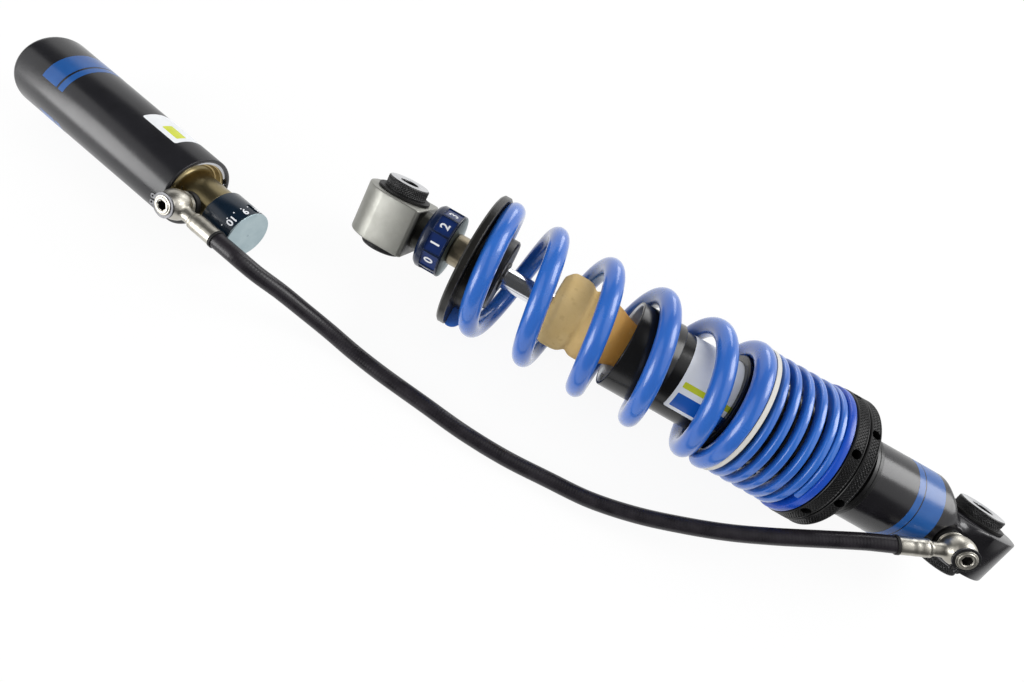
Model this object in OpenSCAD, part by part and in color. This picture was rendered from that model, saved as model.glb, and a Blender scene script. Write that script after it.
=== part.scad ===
// Coil-over strut with a hose-fed reservoir, lying on a bench.
// The strut is drawn upright, from the lower mounting bolt up, and then laid along -X.
// The row's origin is the centre of the lower mounting bolt; +Z is up from the bench.

/* [Mounting eyes] */
// Roll of the mounting bolts away from the vertical, about the strut's axis
strut_roll = 45; // [35:1:55]
// Radius of the hole for the lower mounting bolt
lower_bolt_r = 5; // [4:0.5:6]
// Radius of the hole for the upper mounting bolt
upper_bolt_r = 5; // [4:0.5:6]
// Length of the spacer stack on the lower mounting bolt
lower_stack_len = 42; // [40:1:52]
// Length of the spacer stack on the upper mounting bolt
upper_stack_len = 42; // [40:1:52]
// Radius of the lower spacers
lower_spacer_r = 12.2; // [11.8:0.2:13.2]
// Radius of the upper spacers
upper_spacer_r = 12.2; // [11.8:0.2:13.2]
// Outer radius of the upper eye
upper_eye_r = 20.2; // [19.8:0.2:22]
// Distance from the upper bolt's axis to the eye's flat sides
eye_side = 19.5; // [19:0.1:19.6]
// Distance from the upper bolt's axis to the eye's flat end, towards the wheel
eye_flat = 17.1; // [16.5:0.1:17.7]
// Width of the upper eye along its bolt
upper_eye_w = 28.8; // [27:0.2:32]
// How far the upper eye's middle lies off its bearing's, along the bolt
eye_shift = 1.5; // [0:0.1:2]
// Outer radius of the rounded end of the lower lug
lug_r = 21.5; // [20.5:0.5:24]
// Thickness of the lower lug along its bolt
lug_thk = 27.4; // [26:0.2:32]
// Radius of the upper bearing's seat in its eye
upper_race_r = 13.5; // [13.5:0.5:15]
// Radius of the lower bearing's seat in its lug
lower_race_r = 13.5; // [13.5:0.5:15]
// Width of both bearing races
race_w = 12; // [10:0.5:13]

/* [Damper body] */
// Outer radius of the damper tube and of the foot
body_r = 25; // [24.5:0.5:26]
// Wall of the damper tube
tube_wall = 2; // [2:0.25:3]
// Distance from the joint between foot and tube up to the spring collar's seat
joint_drop = 29; // [27:1:40]
// Height above the lower bolt where the foot starts to round off
shoulder_h = 28; // [26:1:32]
// Length of the foot's rounded shoulder along the strut
shoulder_len = 21; // [18:1:22]
// Height of the tube's upper end above the lower bolt
tube_top = 214; // [208:1:230]
// Pitch of the thread that carries the collars
thread_pitch = 2; // [1.5:0.5:3]
// How far the cap stands out from the tube
cap_lip_out = 2.3; // [1.8:0.1:3]
// Length of the cap
cap_len = 28; // [24:1:34]
// How far the two rings below the collars stand out from the tube
stop_ring_lip = 1.7; // [1:0.1:3]

/* [Collars and springs] */
// Height of the spring collar's seat above the lower bolt
collar_seat_h = 102; // [100:1:106]
// How far the collars stand out from the tube
collar_out = 16; // [15.5:0.5:18]
// Height of the spring collar
spring_collar_h = 7.5; // [7:0.5:9]
// Height of the lock collar
lock_collar_h = 6.7; // [6.1:0.1:8]
// Radius of the spanner holes in the collars
spanner_hole_r = 2.6; // [2:0.1:3]
// Height of the slip ring between the spring collar and the helper spring
slip_ring_h = 4.1; // [3:0.1:6]
// Length of the helper spring between its seats
helper_len = 41.6; // [40:0.2:56]
// How far the helper spring stands out from the tube
helper_out = 14.6; // [13.5:0.1:15]
// Radial depth of the helper spring's flat wire
helper_wire_d = 6.4; // [5:0.2:7]
// Thickness of the helper spring's flat wire along the strut
helper_wire_t = 4; // [3.4:0.1:4.2]
// Thickness of the coupler's flange
flange_thk = 2.6; // [2:0.2:4]
// Length of the main spring between its seats
main_len = 169.8; // [160:1:185]
// How far the main spring stands out from the tube
main_out = 16.6; // [16:0.1:17.4]
// Diameter of the main spring's wire
main_wire = 11.8; // [10.8:0.1:12.2]

/* [Rod and top end] */
// Radius of the piston rod
rod_r = 6.5; // [6:0.25:7]
// How far the upper spring seat stands out from the tube's radius
seat_out = 16; // [15.5:0.5:18]
// Thickness of the upper spring seat's rim
seat_thk = 4.8; // [4:0.2:7]
// Length of the nickel stem above the seat
stem_len = 12.2; // [10:0.2:16]
// Radius of the nickel stem
stem_r = 9.6; // [9.2:0.1:11]
// Width of the rebound adjuster wheel
wheel_w = 16; // [14:0.5:18]
// Radius of the rebound adjuster wheel
wheel_r = 19.4; // [18:0.2:21]
// Distance from the wheel to the upper bolt's axis
wheel_to_eye = 22.4; // [21.4:0.2:26]
// Length of the bump stop
bump_len = 55; // [50:1:60]
// Largest radius of the bump stop
bump_r = 22.8; // [21:0.2:24]
// Travel of the rod from full extension to full compression
rod_travel = 50; // [40:1:52]

/* [Reservoir] */
// Outer radius of the reservoir's tube
res_r = 22.5; // [21.5:0.5:24]
// Length of the reservoir's tube
res_len = 119.5; // [105:0.5:135]
// Wall of the reservoir's tube
res_wall = 2.6; // [2.2:0.1:3]
// Angle of the reservoir's axis away from the strut's axis, seen from above
res_yaw = 11.1; // [10.6:0.1:11.6]
// Distance along X from the lower bolt to the reservoir's mouth
res_back = 481.5; // [480.5:0.5:482.5]
// Distance from the strut's axis to the reservoir's mouth, across
res_side = 41.7; // [41.3:0.1:42.3]
// Lean of the reservoir's hose bolt away from the vertical
res_bolt_lean = 50; // [48:0.5:52]
// Radius of the compression adjuster knob
knob_r = 15; // [14:0.5:16]
// Length of the compression adjuster knob
knob_len = 20.3; // [18:0.5:24]

/* [Hose and fittings] */
// Diameter of the hose
hose_d = 9.5; // [9:0.25:10.5]
// Radius of the round body of both hose fittings
banjo_r = 8.6; // [8.2:0.1:8.8]
// Radius of the hose bolts' shanks
hose_bolt_r = 4.95; // [4.45:0.1:5.05]
// Height of the strut's hose bolt above the lower mounting bolt
strut_bolt_h = 20; // [19.5:0.5:21]
// Angle between the strut's hose fitting and the strut's axis
strut_neck_tilt = 27; // [26:0.5:28]

/* [Hidden] */
$fn = 96;

// Clearances, used wherever one piece runs on or stands off another
run_gap = 0.05;     // radial clearance of a piece that turns or slides in another
face_gap = 0.3;     // space between two bodies that face each other
sleeve_gap = 0.4;   // clearance of the coupler and the seat inside their springs
slip_gap = 0.3;     // radial clearance of the coupler and the slip ring on the thread
cut_over = 1;       // how far a cutter runs past the face that it opens
ring_thk = 1.3;     // thickness of every snap ring

// Heights along the strut, from the lower bolt up
tube_r = body_r - tube_wall;
collar_r = body_r + collar_out;
helper_r = body_r + helper_out;
main_r = body_r + main_out;
seat_r = body_r + seat_out;
cap_r = body_r + cap_lip_out;
stop_ring_r = body_r + stop_ring_lip;
foot_top = collar_seat_h - joint_drop;
slip_low = collar_seat_h + face_gap;
slip_high = slip_low + slip_ring_h;
helper_low = slip_high + face_gap;
flange_low = slip_high + helper_len;
helper_high = flange_low - face_gap;
flange_high = flange_low + flange_thk;
seat_face = flange_high + main_len;
seat_top = seat_face + seat_thk;
wheel_low = seat_top + stem_len + face_gap;
wheel_high = wheel_low + wheel_w;
eye_to_eye = wheel_high + wheel_to_eye;
lock_top = collar_seat_h - spring_collar_h - face_gap;
thread_low = foot_top + 6;
thread_high = flange_low - 4;
thread_depth = 0.6;
ring_step = 2.3;
ring_h = 1.9;

// Foot
spigot_len = 30;
spigot_r = (body_r + tube_r) / 2;
chamber_floor = shoulder_h + 3;
lug_top = 8;
flat_reach = 18.8;     // how far the lug's flats run from the bolt's axis before their fillet
flat_fillet = 5;       // radius that the cutter leaves where the lug's flats run into the shoulder
seat_sink = 4;         // depth of the hose bolt's seat inside the body's radius
drilling_r = 1.8;
lug_outer = lug_thk / 2;

// Cap, rod guide and seals at the top of the tube
cap_low = tube_top - 16;
cap_high = cap_low + cap_len;
cap_floor = 3;
cap_lip = 2.6;
guide_len = 14;
guide_top = tube_top - 2;
seal_r = rod_r + 3.6;
seal_h = 5.6;
rod_bore_r = rod_r + run_gap;

// Rod and piston
piston_len = 14;
piston_gap = 0.25;
nut_h = 8;
nut_r = 9;
shim_r = 15;
shim_h = 2;
tail_r = rod_r - 1.5;
piston_depth = 46;
piston_low = tube_top - piston_depth;
band_low = 4;
band_high = 10;
rod_low = piston_low - shim_h - nut_h - 2;
tail_top = piston_low + piston_len + shim_h;
needle_bore_r = 2.6;
needle_back = 4;
needle_r = 2;
rod_top = wheel_low + 8;
hub_r = 9;

// Bump stop: two bulges and a tapered tail that stands in the cap
bump_low = tube_top + cap_floor + face_gap;
bump_high = bump_low + bump_len;
bump_bore_r = rod_r + 0.5;
bump_waist_r = bump_r - 3.6;
bump_tail_r = 12.5;
bump_tail_len = 0.36 * bump_len;
bulge_len = (bump_len - bump_tail_len) / 2;

// Upper spring seat
pilot_r = main_r - main_wire - sleeve_gap;
pilot_len = 8.4;
boss_r = 22;
boss_len = 16.4;

// Coupler: its pilots reach into the helper spring below and the main spring above
coupler_below = 12;
coupler_above = 10;

// Springs: turns in all, closed turns at the lower and upper end, and where the wire starts
main_turns = 6;
main_closed = [0.75, 0.75];
main_closed_pitch = 4.5;
main_start = -71.5;
helper_turns = 5.8;
helper_closed = [1.25, 0.6];
helper_ground = 1.2;   // how much of the wire's thickness is ground away at both of its ends
helper_start = -26;
rings_per_turn = 8;
ramp_turns = 0.7;
main_mean_r = main_r - main_wire / 2;
helper_mean_r = helper_r - helper_wire_d / 2;
wire_sides = 6;

// Bearings and spacers on the mounting bolts
upper_ball_r = upper_race_r - 3;
lower_ball_r = lower_race_r - 3;
ball_w = race_w + 4;
shank_step = 3.2;
halves_gap = 0.2;      // gap between the two spacers, inside the ball
seal_thk = 1.8;

// Hose fittings: X is the bolt's axis, away from the seat; Z is the neck's axis
fitting_seat = 11;     // from the fitting's centre to its seat
ball_below = 8;        // from the fitting's centre to its round body's lower and upper face
ball_above = 6.4;
neck_r = 3.6;
neck_end = 27;
ferrule_low = 14.2;
ferrule_high = 30;
ferrule_r = hose_d / 2 + 0.3;
shank_len = 10;
head_r = 5.4;
head_h = 1;
socket_af = 5;
socket_deep = 4;
passage_r = 1.5;
strut_fit_x = body_r - seat_sink + fitting_seat;
washer_r = 6.9;
end_ring_lip = 0.3;
end_ring_len = 1.4;

// Reservoir, along its own axis with its mouth at 0 and its knob at +Z
res_bore = res_r - res_wall;
cap_recess = 2.5;
end_cap_len = 14;
housing_r = 13;
housing_len = 19.1;
housing_spigot_r = 11;
housing_flare = 2.8;
spindle_r = 4;
spindle_len = 10;
res_fit_x = 22.9;
res_fit_z = 8.9;
knob_low = housing_len + face_gap + 0.2;
knob_slot_back = 9;
knob_slot_len = 7;
knob_slot_w = 3.2;
knob_slot_turn = -96;
floor_thk = 7;
res_fillet = 4;
divider_z = -62;
divider_len = 16;
bench_z = -collar_r;

// The hose's route over the bench: X, Y and height above the bench, from the strut's
// fitting to the reservoir's. Both ends are then drawn to where the fittings hold them.
hose_route = [[-46.7, -32.3, 54], [-60, -37, 49.3], [-80, -45.6, 42], [-103, -55.5, 34],
    [-125, -64, 27], [-148, -71, 20], [-172, -77, 14], [-198, -81, 9], [-225, -82, 6], [-252, -83, 5],
    [-280, -82, 5], [-308, -79, 5], [-336, -76, 5], [-357, -73, 5.5], [-376, -70, 9],
    [-392, -69, 16], [-406, -69, 25], [-420, -69.5, 33], [-434, -68, 38.2], [-447.2, -65.4, 38.8]];
hose_sides = 10;
hose_reach = 6;        // how many of the route's points follow a fitting that moves
hose_low = min([for (p = hose_route) p[2]]);
hose_straight = 1.4 * hose_d;

// Turns a vector about X or about Y or Z by an angle
function about_x(v, a) = [v[0], v[1] * cos(a) - v[2] * sin(a), v[1] * sin(a) + v[2] * cos(a)];
function about_y(v, a) = [v[0] * cos(a) + v[2] * sin(a), v[1], -v[0] * sin(a) + v[2] * cos(a)];
function about_z(v, a) = [v[0] * cos(a) - v[1] * sin(a), v[0] * sin(a) + v[1] * cos(a), v[2]];

// A point or direction on the strut and on the reservoir, in the row's own frame
function strut_turn(v) = about_x(about_y(v, -90), strut_roll);
function res_turn(v) = about_z(about_x(about_y(v, 90), 180 + res_bolt_lean), -res_yaw);

// Where each fitting holds the hose's end, and which way it points the hose
strut_hose_dir = strut_turn(about_x([0, 0, 1], strut_neck_tilt));
res_hose_dir = res_turn([0, 0, 1]);
strut_hose_end = strut_turn([strut_fit_x, 0, strut_bolt_h]) + ferrule_high * strut_hose_dir;
res_hose_end = [-res_back, -res_side, bench_z + res_r]
    + res_turn([res_fit_x, 0, res_fit_z]) + ferrule_high * res_hose_dir;

// The route in the row's own frame, with each end eased onto its fitting and straight there
hose_last = len(hose_route) - 1;
hose_eased =
    let (
        route = [for (p = hose_route) [p[0], p[1], p[2] + bench_z + hose_d / 2 - hose_low]],
        start_shift = strut_hose_end - route[0],
        end_shift = res_hose_end - route[hose_last])
    [for (i = [0:hose_last])
        route[i] + start_shift * max(0, 1 - i / hose_reach)
        + end_shift * max(0, 1 - (hose_last - i) / hose_reach)];
hose_path = [for (i = [0:hose_last])
    i == 1 ? strut_hose_end + hose_straight * strut_hose_dir
    : i == hose_last - 1 ? res_hose_end + hose_straight * res_hose_dir
    : hose_eased[i]];
function path_length(path) =
    len(path) < 2 ? 0 : norm(path[1] - path[0]) + path_length([for (i = [1:len(path) - 1]) path[i]]);

// ---------- placing ----------

// Lays the upright strut along -X and rolls it about its own axis
module on_strut() rotate([strut_roll, 0, 0]) rotate([0, -90, 0]) children();

// Turns +Z to lie along a mounting bolt, at a height up the strut
module on_bolt(height) translate([0, 0, height]) rotate([-90, 0, 0]) children();

// Stands the reservoir's own axis where it lies on the bench
module on_reservoir()
    translate([-res_back, -res_side, bench_z + res_r])
        rotate([0, 0, -res_yaw]) rotate([180 + res_bolt_lean, 0, 0]) rotate([0, 90, 0]) children();

// Turns +Z to lie along a hose bolt, with its seat at 0
module on_seat() translate([-fitting_seat, 0, 0]) rotate([0, 90, 0]) children();

module strut_fitting()
    on_strut() translate([strut_fit_x, 0, strut_bolt_h]) rotate([strut_neck_tilt, 0, 0]) children();

module reservoir_fitting() on_reservoir() translate([res_fit_x, 0, res_fit_z]) children();

// ---------- shared shapes ----------

module ring(outer, inner, low, high)
    translate([0, 0, low]) difference() {
        cylinder(r = outer, h = high - low);
        translate([0, 0, -cut_over]) cylinder(r = inner, h = high - low + 2 * cut_over);
    }

// A turned piece: its outline is given as [radius, height] points
module turned(points) rotate_extrude() polygon(points);

// A disc with both rims broken by a chamfer
module chamfered(r, low, high, chamfer)
    turned([[0, low], [r - chamfer, low], [r, low + chamfer], [r, high - chamfer],
        [r - chamfer, high], [0, high]]);

// ---------- wound springs ----------

// Share of the spring's height used at turn t: closed ends, ramps and an even pitch between
function ramp_area(t, from, to) =
    t <= from ? 0 : t >= to ? (to - from) / 2 + (t - to) : pow(t - from, 2) / (2 * (to - from));
function opened(t, turns, closed) =
    ramp_area(t, closed[0] - ramp_turns / 2, closed[0] + ramp_turns / 2)
    - ramp_area(t, turns - closed[1] - ramp_turns / 2, turns - closed[1] + ramp_turns / 2);

// Height of the wire's centre at turn t; closed turns rise by closed_pitch each
function wire_height(t, low, high, turns, closed, closed_pitch) =
    low + closed_pitch * t
    + (high - low - closed_pitch * turns) * opened(t, turns, closed) / opened(turns, turns, closed);

// One ring of a wire's corners round the spring's axis; section holds [radial, axial] offsets.
// The straight runs between rings cut inside the circle, so the corners keep clear of a core.
function wire_ring(angle, mean_r, height, section, floor_z, top_z, core_r) =
    [for (s = section)
        let (r = max(mean_r + s[0], core_r / cos(180 / rings_per_turn)))
        [r * cos(angle), r * sin(angle), min(max(height + s[1], floor_z), top_z)]];

function round_section(diameter) =
    [for (i = [0:wire_sides - 1]) diameter / 2 * [cos(360 * i / wire_sides), sin(360 * i / wire_sides)]];

// The flat wire's section is a rectangle whose outer and inner faces are slightly crowned
function flat_section(deep, thick) =
    [[deep / 2, 0], [deep / 2 - 0.5, thick / 2], [-deep / 2 + 0.5, thick / 2],
        [-deep / 2, 0], [-deep / 2 + 0.5, -thick / 2], [deep / 2 - 0.5, -thick / 2]];

// Skins a tube over rings of equal size, with flat ends
module skin(rings) {
    count = len(rings);
    sides = len(rings[0]);
    points = [for (r = rings) each r];
    walls = [for (i = [0:count - 2], j = [0:sides - 1])
        let (a = i * sides + j, b = i * sides + (j + 1) % sides)
        each [[a, b, b + sides], [a, b + sides, a + sides]]];
    first_end = [for (j = [1:sides - 2]) [0, j + 1, j]];
    last = (count - 1) * sides;
    last_end = [for (j = [1:sides - 2]) [last, last + j, last + j + 1]];
    polyhedron(points = points, faces = concat(walls, first_end, last_end), convexity = 8);
}

function spring_rings(low, high, turns, closed, closed_pitch, mean_r, start, section, half, core_r) =
    let (steps = round(turns * rings_per_turn))
    [for (i = [steps:-1:0])
        let (t = turns * i / steps)
        wire_ring(start + 360 * t, mean_r,
            wire_height(t, low + half, high - half, turns, closed, closed_pitch),
            section, low, high, core_r)];

main_low = flange_high + face_gap;
main_high = seat_face - face_gap;
main_ground = main_wire / 3;
main_rings = spring_rings(main_low, main_high, main_turns, main_closed, main_closed_pitch, main_mean_r,
    main_start, round_section(main_wire), main_wire / 2 - main_ground, pilot_r + sleeve_gap / 2);
helper_rings = spring_rings(helper_low, helper_high, helper_turns, helper_closed,
    helper_wire_t + 0.5, helper_mean_r, helper_start,
    flat_section(helper_wire_d, helper_wire_t), helper_wire_t / 2 - helper_ground, pilot_r + sleeve_gap / 2);

// Least gap between one turn's wire and the next, measured ring by ring along the axis
function turn_gap(rings) =
    min([for (i = [0:len(rings) - 1 - rings_per_turn])
        min([for (p = rings[i]) p[2]]) - max([for (p = rings[i + rings_per_turn]) p[2]])]);

echo(hose_length = path_length(hose_path), hose_start = hose_path[0], hose_finish = hose_path[hose_last]);
echo(main_spring_gap = turn_gap(main_rings), helper_spring_gap = turn_gap(helper_rings));
echo(eye_to_eye = eye_to_eye);

// ---------- foot and damper body ----------

// The cutter that sweeps round the bolt's axis and leaves one flat of the lug, with a fillet
module flat_cutter() let (r = flat_reach) turned(concat(
    [[0, lug_outer], [r, lug_outer]],
    [for (a = [15:15:90]) [r + flat_fillet * sin(a), lug_outer + flat_fillet * (1 - cos(a))]],
    [[r + flat_fillet, lug_outer + body_r], [0, lug_outer + body_r]]));

module lower_foot() color("#3b3a40") on_strut() difference() {
    union() {
        intersection() {
            union() {
                translate([0, 0, shoulder_h]) scale([1, 1, shoulder_len / body_r]) sphere(r = body_r);
                translate([0, 0, shoulder_h]) cylinder(r = body_r, h = foot_top - shoulder_h);
            }
            translate([0, 0, foot_top / 2]) cube([4 * body_r, 4 * body_r, foot_top], center = true);
        }
        on_bolt(0) translate([0, 0, -lug_outer]) cylinder(r = lug_r, h = lug_thk);
        translate([-lug_r, -lug_outer, 0]) cube([2 * lug_r, lug_thk, lug_top]);
        translate([0, 0, strut_bolt_h]) rotate([0, 90, 0])
            cylinder(r = banjo_r + 0.5, h = strut_fit_x - fitting_seat);
    }
    translate([strut_fit_x - fitting_seat, 0, strut_bolt_h])
        rotate([0, 90, 0]) cylinder(r = banjo_r + 1, h = 2 * fitting_seat);
    translate([strut_fit_x - fitting_seat, 0, strut_bolt_h]) rotate([0, -90, 0])
        cylinder(r = hose_bolt_r + run_gap, h = shank_len);
    translate([strut_fit_x - fitting_seat, 0, strut_bolt_h]) rotate([0, -90, 0])
        cylinder(r = drilling_r, h = 2 * shank_len);
    translate([0, 0, strut_bolt_h]) cylinder(r = drilling_r, h = foot_top);
    on_bolt(0) translate([0, 0, -lug_thk]) cylinder(r = lower_race_r, h = 2 * lug_thk);
    for (side = [-1, 1]) {
        on_bolt(0) translate([0, 0, side * (race_w / 2 + ring_thk / 2) - ring_thk / 2])
            cylinder(r = lower_race_r + 0.8, h = ring_thk);
        on_bolt(0) rotate([0, 90 - 90 * side, 0]) flat_cutter();
    }
    translate([0, 0, chamber_floor]) cylinder(r = tube_r, h = foot_top);
    translate([0, 0, foot_top - spigot_len]) cylinder(r = spigot_r, h = foot_top);
}

module damper_tube() color("#1d1d20") on_strut() {
    turned(concat(
        [[tube_r, foot_top - spigot_len], [spigot_r, foot_top - spigot_len], [spigot_r, foot_top],
            [body_r, foot_top], [body_r, thread_low]],
        [for (i = [0:floor((thread_high - thread_low) / thread_pitch) - 1])
            let (z = thread_low + i * thread_pitch)
            each [[body_r - thread_depth, z + thread_pitch / 2], [body_r, z + thread_pitch]]],
        [[body_r, tube_top], [spigot_r, tube_top], [spigot_r, guide_top], [tube_r, guide_top]]));
}

module body_cap() color("#161617") on_strut() turned([
    [body_r, cap_low], [cap_r - 0.8, cap_low], [cap_r, cap_low + 0.8], [cap_r, cap_high - 0.8],
    [cap_r - 0.8, cap_high], [cap_r - cap_lip, cap_high], [cap_r - cap_lip, tube_top + cap_floor],
    [seal_r, tube_top + cap_floor], [seal_r, tube_top], [body_r, tube_top]]);

module rod_guide() color("#8f9194") on_strut() turned([
    [rod_bore_r, guide_top - guide_len], [tube_r, guide_top - guide_len], [tube_r, guide_top],
    [seal_r, guide_top], [seal_r, guide_top - seal_h], [rod_bore_r, guide_top - seal_h]]);

module rod_seal() color("#1b1b1b") on_strut()
    ring(seal_r, rod_bore_r, guide_top - seal_h, guide_top);

module rod_wiper() color("#202020") on_strut()
    ring(seal_r, rod_bore_r, tube_top, tube_top + cap_floor);

module guide_snap_ring() color("#777777") on_strut()
    ring(spigot_r, tube_r - 2, guide_top, guide_top + ring_thk);

module collar_stop_ring() color("#1a1a1b") on_strut() translate([0, 0, foot_top])
    ring(stop_ring_r, body_r, ring_step, ring_step + ring_h);

module collar_o_ring() color("#101010") on_strut() translate([0, 0, foot_top])
    ring(stop_ring_r - 0.2, body_r, 0, ring_h);

// One bulge of the bump stop, as points up its outside
function bulge(low, high, waist, belly) =
    [for (a = [-80:20:80])
        [waist + (belly - waist) * cos(a) , (low + high) / 2 + (high - low) / 2 * sin(a)]];

module bump_stop() color("#d9bd86") on_strut() turned(concat(
    [[bump_bore_r, bump_low], [bump_tail_r, bump_low], [bump_tail_r + 0.8, bump_low + 1]],
    [for (a = [0:30:60])
        [bump_tail_r + 1 + (bump_waist_r - bump_tail_r - 2) * sin(a),
            bump_low + 2 + (bump_tail_len - 3) * a / 75]],
    bulge(bump_low + bump_tail_len, bump_low + bump_tail_len + bulge_len, bump_waist_r,
        bump_r - 1.2),
    bulge(bump_high - bulge_len, bump_high, bump_waist_r, bump_r),
    [[bump_bore_r, bump_high]]));

module bearing_race(r, ball_r, height) on_bolt(height) difference() {
    translate([0, 0, -race_w / 2]) cylinder(r = r, h = race_w);
    sphere(r = ball_r + run_gap);
}

module bearing_ball(ball_r, step, height) on_bolt(height) difference() {
    intersection() {
        sphere(r = ball_r);
        translate([0, 0, -ball_w / 2]) cylinder(r = ball_r, h = ball_w);
    }
    translate([0, 0, -ball_w]) cylinder(r = ball_r - step, h = 2 * ball_w);
}

// Both stepped spacers of one bearing: a shank in the ball and a head that stands proud
module spacers(ball_r, head_r, outer_r, face, stack, bolt_r, height)
    for (side = [0, 1]) on_bolt(height) mirror([0, 0, side]) difference() {
        turned([[0, halves_gap / 2], [ball_r - shank_step, halves_gap / 2],
            [ball_r - shank_step, ball_w / 2], [head_r, ball_w / 2],
            [head_r, face + seal_thk], [outer_r, face + seal_thk], [outer_r, stack / 2 - 0.8],
            [outer_r - 0.8, stack / 2], [0, stack / 2]]);
        translate([0, 0, -cut_over]) cylinder(r = bolt_r, h = stack);
    }

module circlips(r, height)
    for (side = [-1, 1])
        on_bolt(height) translate([0, 0, side * (race_w / 2 + ring_thk / 2) - ring_thk / 2]) difference() {
            cylinder(r = r + 0.8, h = ring_thk);
            translate([0, 0, -cut_over]) cylinder(r = r - 1.6, h = ring_thk + 2 * cut_over);
            translate([0, -2, -cut_over]) cube([2 * r, 4, ring_thk + 2 * cut_over]);
        }

module face_seals(outer, inner, faces, height)
    for (side = [0, 1]) on_bolt(height) mirror([0, 0, side])
        ring(outer, inner, faces[side] + face_gap / 2, faces[side] + seal_thk - face_gap / 2);

lower_seal_r = lower_spacer_r + 2.6;
upper_seal_r = upper_spacer_r + 3.2;
lower_head_r = min(lower_spacer_r, lower_race_r - 0.5);
upper_head_r = min(upper_spacer_r, upper_race_r - 0.5);

module lower_bearing_race() color("#b9bcc0") on_strut() bearing_race(lower_race_r, lower_ball_r, 0);
module lower_circlips() color("#4c4d50") on_strut() circlips(lower_race_r, 0);
module lower_bearing_ball() color("#d6d8da") on_strut() bearing_ball(lower_ball_r, shank_step, 0);
module lower_spacers() color("#1b1b1d") on_strut()
    spacers(lower_ball_r, lower_head_r, lower_spacer_r, lug_outer, lower_stack_len, lower_bolt_r, 0);
module lower_seals() color("#111111") on_strut()
    face_seals(lower_seal_r, lower_head_r, [lug_outer, lug_outer], 0);

// ---------- collars, coupler and springs ----------

module collar(low, high, hole_phase) difference() {
    chamfered(collar_r, low, high, 0.8);
    translate([0, 0, low - cut_over]) cylinder(r = body_r + run_gap, h = high - low + 2 * cut_over);
    for (k = [0:5])
        rotate([0, 0, hole_phase + 60 * k]) translate([collar_r - 8, 0, (low + high) / 2])
            rotate([0, 90, 0]) cylinder(r = spanner_hole_r, h = 2 * spanner_hole_r + 8, $fn = 32);
}

module spring_collar() color("#141415") on_strut()
    collar(collar_seat_h - spring_collar_h, collar_seat_h, 28);

module lock_collar() color("#19191a") on_strut() collar(lock_top - lock_collar_h, lock_top, 50);

coupler_step_r = helper_r - helper_wire_d - 1.6;

module collar_slip_ring() color("#2b3fae") on_strut()
    ring(helper_r + 1, body_r + slip_gap, slip_low, slip_high);

module spring_coupler() color("#101011") on_strut() difference() {
    union() {
        chamfered(pilot_r, flange_low - coupler_below, flange_high + coupler_above, 0.8);
        translate([0, 0, flange_low]) cylinder(r = coupler_step_r, h = flange_thk);
    }
    translate([0, 0, flange_low - coupler_below - cut_over]) cylinder(r = body_r + slip_gap,
        h = flange_thk + coupler_below + coupler_above + 2 * cut_over);
}

module coupler_ring() color("#d7d4cc") on_strut()
    ring(helper_r + 0.3, coupler_step_r, flange_low, flange_high);

module main_spring() color("#2f6fd0") on_strut() skin(main_rings);
module helper_spring() color("#2a66c8") on_strut() skin(helper_rings);

// ---------- rod and top end ----------

module piston_rod() color("#e6e8ea") on_strut() difference() {
    turned([[0, rod_low], [tail_r, rod_low], [tail_r, tail_top], [rod_r, tail_top],
        [rod_r, rod_top - 1], [rod_r - 1, rod_top], [0, rod_top]]);
    translate([0, 0, rod_low - cut_over]) cylinder(r = needle_bore_r, h = rod_top - rod_low + 2 * cut_over);
    translate([0, 0, tail_top + 6]) rotate([90, 0, 0]) cylinder(r = 1.5, h = 4 * rod_r, center = true);
}

module piston() color("#9b9da0") on_strut() difference() {
    turned([[tail_r, piston_low], [tube_r - piston_gap - 0.6, piston_low],
        [tube_r - piston_gap, piston_low + 0.6], [tube_r - piston_gap, piston_low + band_low],
        [tube_r - 1.6, piston_low + band_low], [tube_r - 1.6, piston_low + band_high],
        [tube_r - piston_gap, piston_low + band_high], [tube_r - piston_gap, piston_low + piston_len],
        [tail_r, piston_low + piston_len]]);
    for (k = [0:5]) rotate([0, 0, 60 * k]) translate([(tail_r + tube_r) / 2 - 2, 0, piston_low - cut_over])
        cylinder(r = 1.8, h = piston_len + 2 * cut_over, $fn = 32);
}

module piston_band() color("#6f5a36") on_strut()
    ring(tube_r - run_gap, tube_r - 1.6, piston_low + band_low, piston_low + band_high);

module shim_stacks() color("#c2c5c8") on_strut() {
    ring(shim_r, tail_r, piston_low - shim_h, piston_low);
    ring(shim_r - 2, tail_r, piston_low + piston_len, tail_top);
}

module piston_nut() color("#8b8d90") on_strut() difference() {
    translate([0, 0, piston_low - shim_h - nut_h]) cylinder(r = nut_r, h = nut_h, $fn = 6);
    translate([0, 0, rod_low]) cylinder(r = tail_r, h = nut_h + shim_h + 4);
}

module rebound_needle() color("#cfd2d4") on_strut() turned([
    [0, piston_low], [needle_r, piston_low + 6], [needle_r, rod_top - needle_back],
    [0, rod_top - needle_back]]);

module upper_spring_seat() color("#4a463f") on_strut() difference() {
    turned([[rod_r, seat_face - boss_len], [boss_r - 1, seat_face - boss_len],
        [boss_r, seat_face - boss_len + 1],
        [boss_r, seat_face - pilot_len], [pilot_r - 0.8, seat_face - pilot_len],
        [pilot_r, seat_face - pilot_len + 0.8], [pilot_r, seat_face], [seat_r - 0.5, seat_face],
        [seat_r, seat_face + 0.5], [seat_r, seat_top - 1], [seat_r - 1, seat_top],
        [seat_r - 8, seat_top], [seat_r - 9, seat_top - 1.2], [stem_r + 4, seat_top - 1.2],
        [stem_r + 3, seat_top], [rod_r, seat_top]]);
}

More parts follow.
